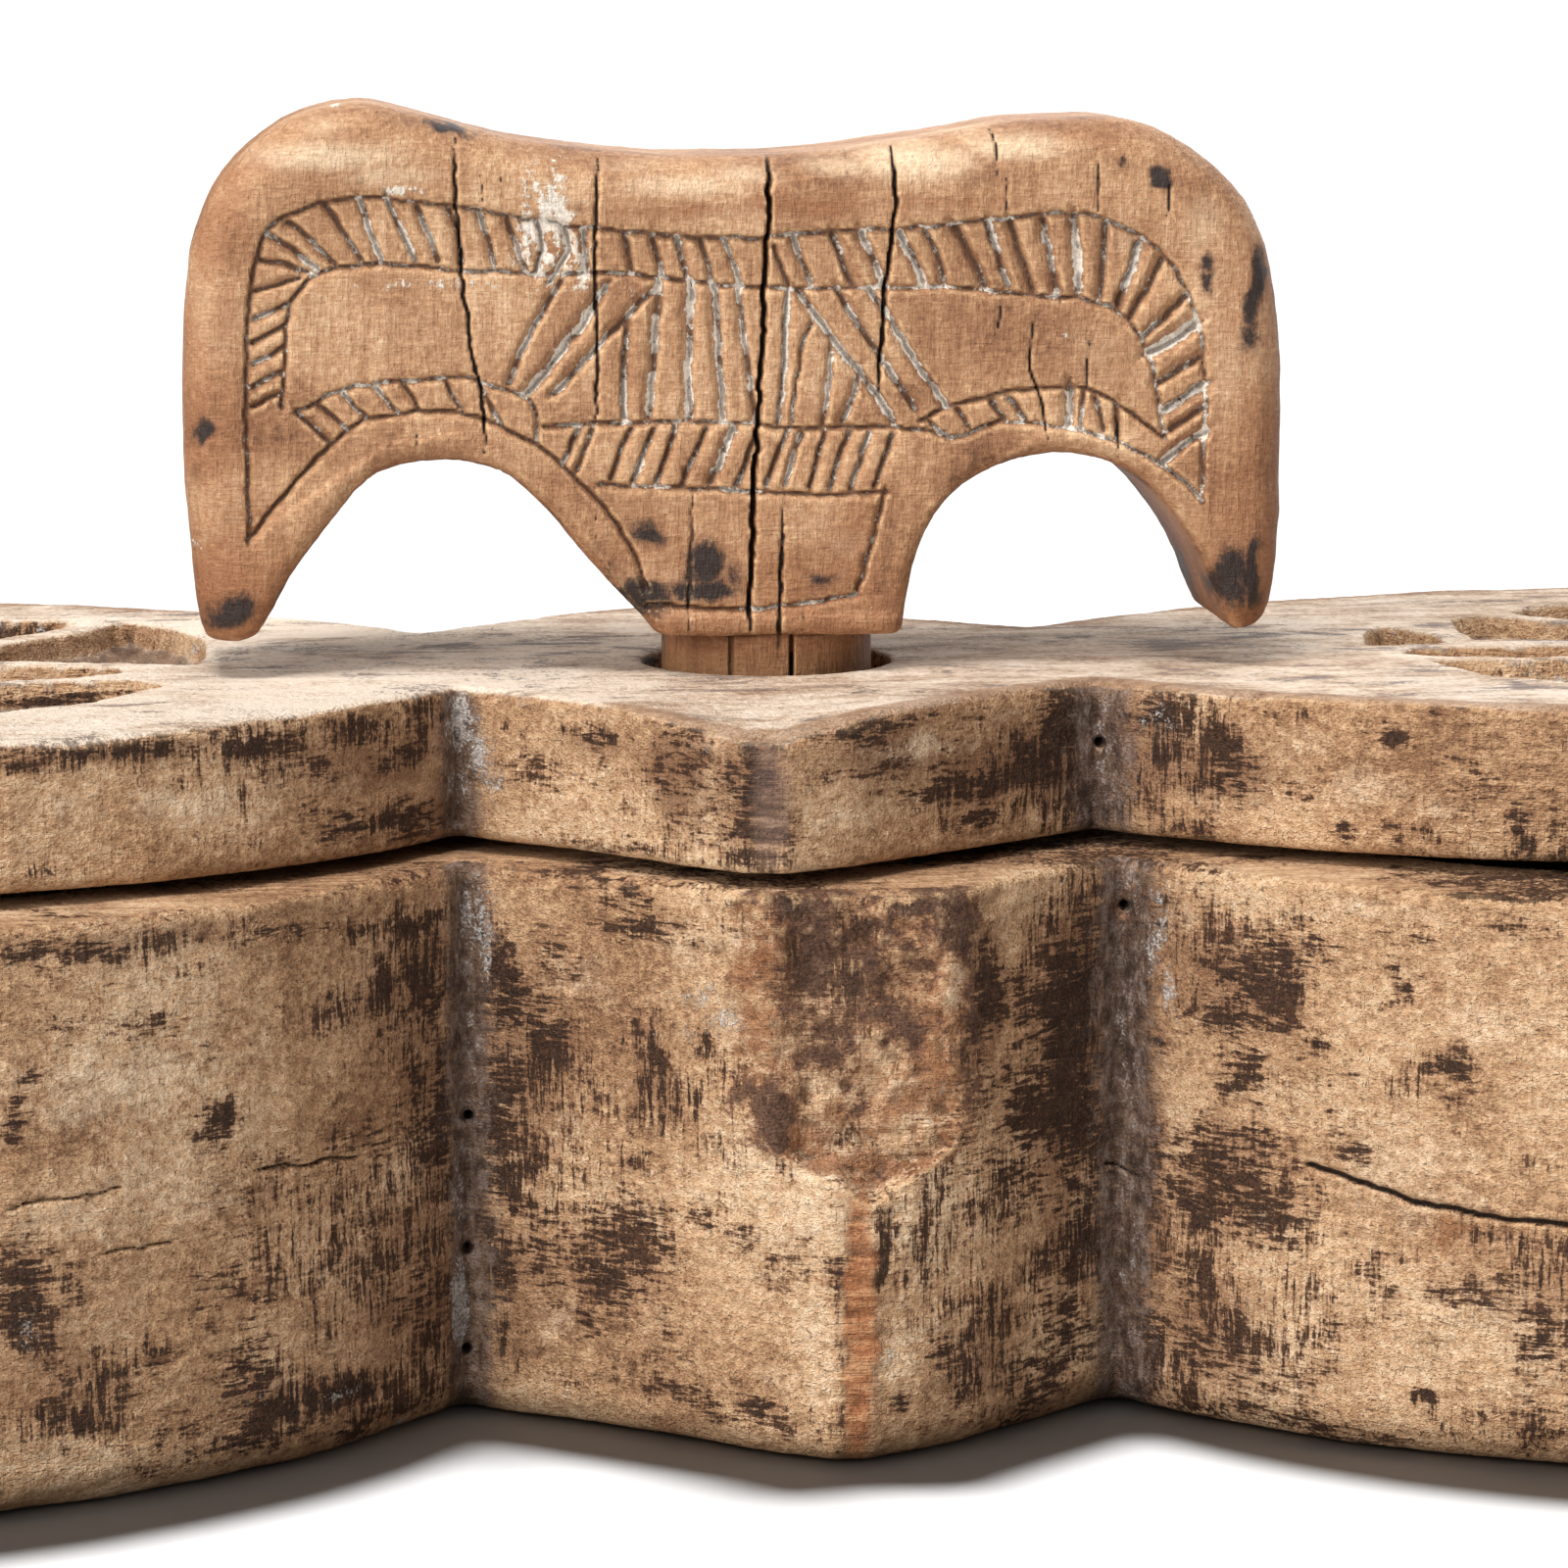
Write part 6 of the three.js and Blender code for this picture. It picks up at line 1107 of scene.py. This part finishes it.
def wedge_wood(name):
    g = Graph(name)
    grain = g.noise(1.6, 0.05, 1.6, 4, 0.6, 0.3)
    fibre = g.noise(5.0, 0.3, 5.0, 2, 0.5, 0.0, 3.1)
    fleck = g.noise(1.1, 1.1, 1.1, 3, 0.6, 0.0, 11.3)
    col = g.ramp(g.add((grain, 0.7), (fibre, 0.2), (fleck, 0.1)), (0.3, rgb(66, 44, 31)), (0.5, rgb(104, 72, 49)), (0.7, rgb(140, 102, 70)))
    col = g.mix(g.band(g.add((g.attr("dark"), 1.0), (fleck, 0.6), -0.3), 0.3, 0.8, 0.0, 0.7), col, rgb(48, 34, 27))
    col = g.mix(g.band(g.attr("edge"), 0.62, 0.95, 0.0, 0.5), col, rgb(168, 128, 90))
    g.put(g.bsdf.inputs["Base Color"], col)
    g.put(g.bsdf.inputs["Roughness"], g.add((fibre, 0.2), 0.68))
    g.bump((grain, 0.0004), (fibre, 0.0002))
    return g.m


def floor_white(name):
    g = Graph(name)
    n = g.noise(0.02, 0.02, 0.02, 2)
    g.put(g.bsdf.inputs["Base Color"], g.ramp(n, (0.3, (0.42, 0.42, 0.42, 1)), (0.7, (0.44, 0.44, 0.44, 1))))
    g.bsdf.inputs["Roughness"].default_value = 0.95
    g.bsdf.inputs["Specular IOR Level"].default_value = 0.0
    return g.m


MAT = {"handle": handle_wood("carved_handle_wood"), "box": box_like("aged_box_wood"), "lid": box_like("aged_lid_wood", top=True), "wedge": wedge_wood("split_wedge_wood")}

# ---- build ---------------------------------------------------------------------------------------------
handle = build_handle()
body = build_body()
lid = build_lid()
wedge = build_wedge()
for ob, node, name, slot_name in ((body, "box_body", "box", "box_wood"), (lid, "swivel_lid", "lid", "lid_wood"), (handle, "yoke_handle", "box", "handle_wood"), (wedge, "locking_wedge", "box", "wedge_wood")):
    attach(ob, name)
    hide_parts(node)

# ---- floor, light, camera --------------------------------------------------------------------------------
me = bpy.data.meshes.new("floor")
me.from_pydata([(-60, -60, 0), (60, -60, 0), (60, 60, 0), (-60, 60, 0)], [], [(0, 1, 2, 3)])
floor = bpy.data.objects.new("floor", me)
bpy.context.scene.collection.objects.link(floor)
floor.location = (0, 0, -0.0002)
me.materials.append(floor_white("pale_floor"))

world = bpy.data.worlds.new("studio")
bpy.context.scene.world = world
world.use_nodes = True
world.node_tree.nodes["Background"].inputs[0].default_value = (1.0, 1.0, 1.0, 1)
world.node_tree.nodes["Background"].inputs[1].default_value = 0.15
wt = world.node_tree
bright = wt.nodes.new("ShaderNodeBackground")
bright.inputs[0].default_value = (1.0, 1.0, 1.0, 1)
bright.inputs[1].default_value = 1.0
lp = wt.nodes.new("ShaderNodeLightPath")
ms = wt.nodes.new("ShaderNodeMixShader")
wt.links.new(lp.outputs["Is Camera Ray"], ms.inputs[0])
wt.links.new(wt.nodes["Background"].outputs[0], ms.inputs[1])
wt.links.new(bright.outputs[0], ms.inputs[2])
wt.links.new(ms.outputs[0], wt.nodes["World Output"].inputs[0])


def area(name, loc, target, size, power, color=(1, 1, 1)):
    d = bpy.data.lights.new(name, "AREA")
    d.shape = "RECTANGLE"
    d.size, d.size_y = size
    d.energy = power
    d.color = color
    ob = bpy.data.objects.new(name, d)
    bpy.context.scene.collection.objects.link(ob)
    ob.location = loc
    v = [t - l for t, l in zip(target, loc)]
    from mathutils import Vector

    ob.rotation_euler = Vector(v).to_track_quat("-Z", "Y").to_euler()
    return ob


def sun(name, direction, strength, angle, color=(1, 1, 1)):
    from mathutils import Vector

    d = bpy.data.lights.new(name, "SUN")
    d.energy = strength
    d.angle = math.radians(angle)
    d.color = color
    ob = bpy.data.objects.new(name, d)
    bpy.context.scene.collection.objects.link(ob)
    ob.location = [-1.5 * c for c in direction]
    ob.rotation_euler = Vector(direction).to_track_quat("-Z", "Y").to_euler()
    return ob


# each soft lamp is linked: one pair for the object, and one overhead and a little behind for the floor
key = sun("key_sun", (0.16, 0.26, -0.95), 3.5, 26, (1.0, 1.0, 1.0))
fill = sun("fill_sun", (0.70, 0.60, -0.38), 2.75, 44, (1.0, 0.985, 0.965))
back = sun("back_sun", (-0.4, -0.8, -0.42), 2.0, 60, (1.0, 1.0, 1.0))
ground = sun("ground_sun", (0.02, -0.21, -0.978), 7.9, 7, (1.0, 1.0, 1.0))
lit = bpy.data.collections.new("object_receivers")
for ob in (body, lid, handle, wedge):
    lit.objects.link(ob)
low = bpy.data.collections.new("floor_receivers")
low.objects.link(floor)
for lamp in (key, fill, back):
    lamp.light_linking.receiver_collection = lit
ground.light_linking.receiver_collection = low

cam = bpy.data.cameras.new("camera")
cam.sensor_width = 36.0
cam.sensor_fit = "HORIZONTAL"
cam.lens = 126.0
cam.clip_start = 0.01
cam.clip_end = 50.0
co = bpy.data.objects.new("camera", cam)
bpy.context.scene.collection.objects.link(co)
co.location = (-0.07546, -0.79575, 0.21085)
co.rotation_euler = (math.radians(81.065), 0.0, math.radians(-5.6))
bpy.context.scene.camera = co
bpy.context.scene.view_settings.view_transform = "Standard"
bpy.context.scene.view_settings.look = "None"
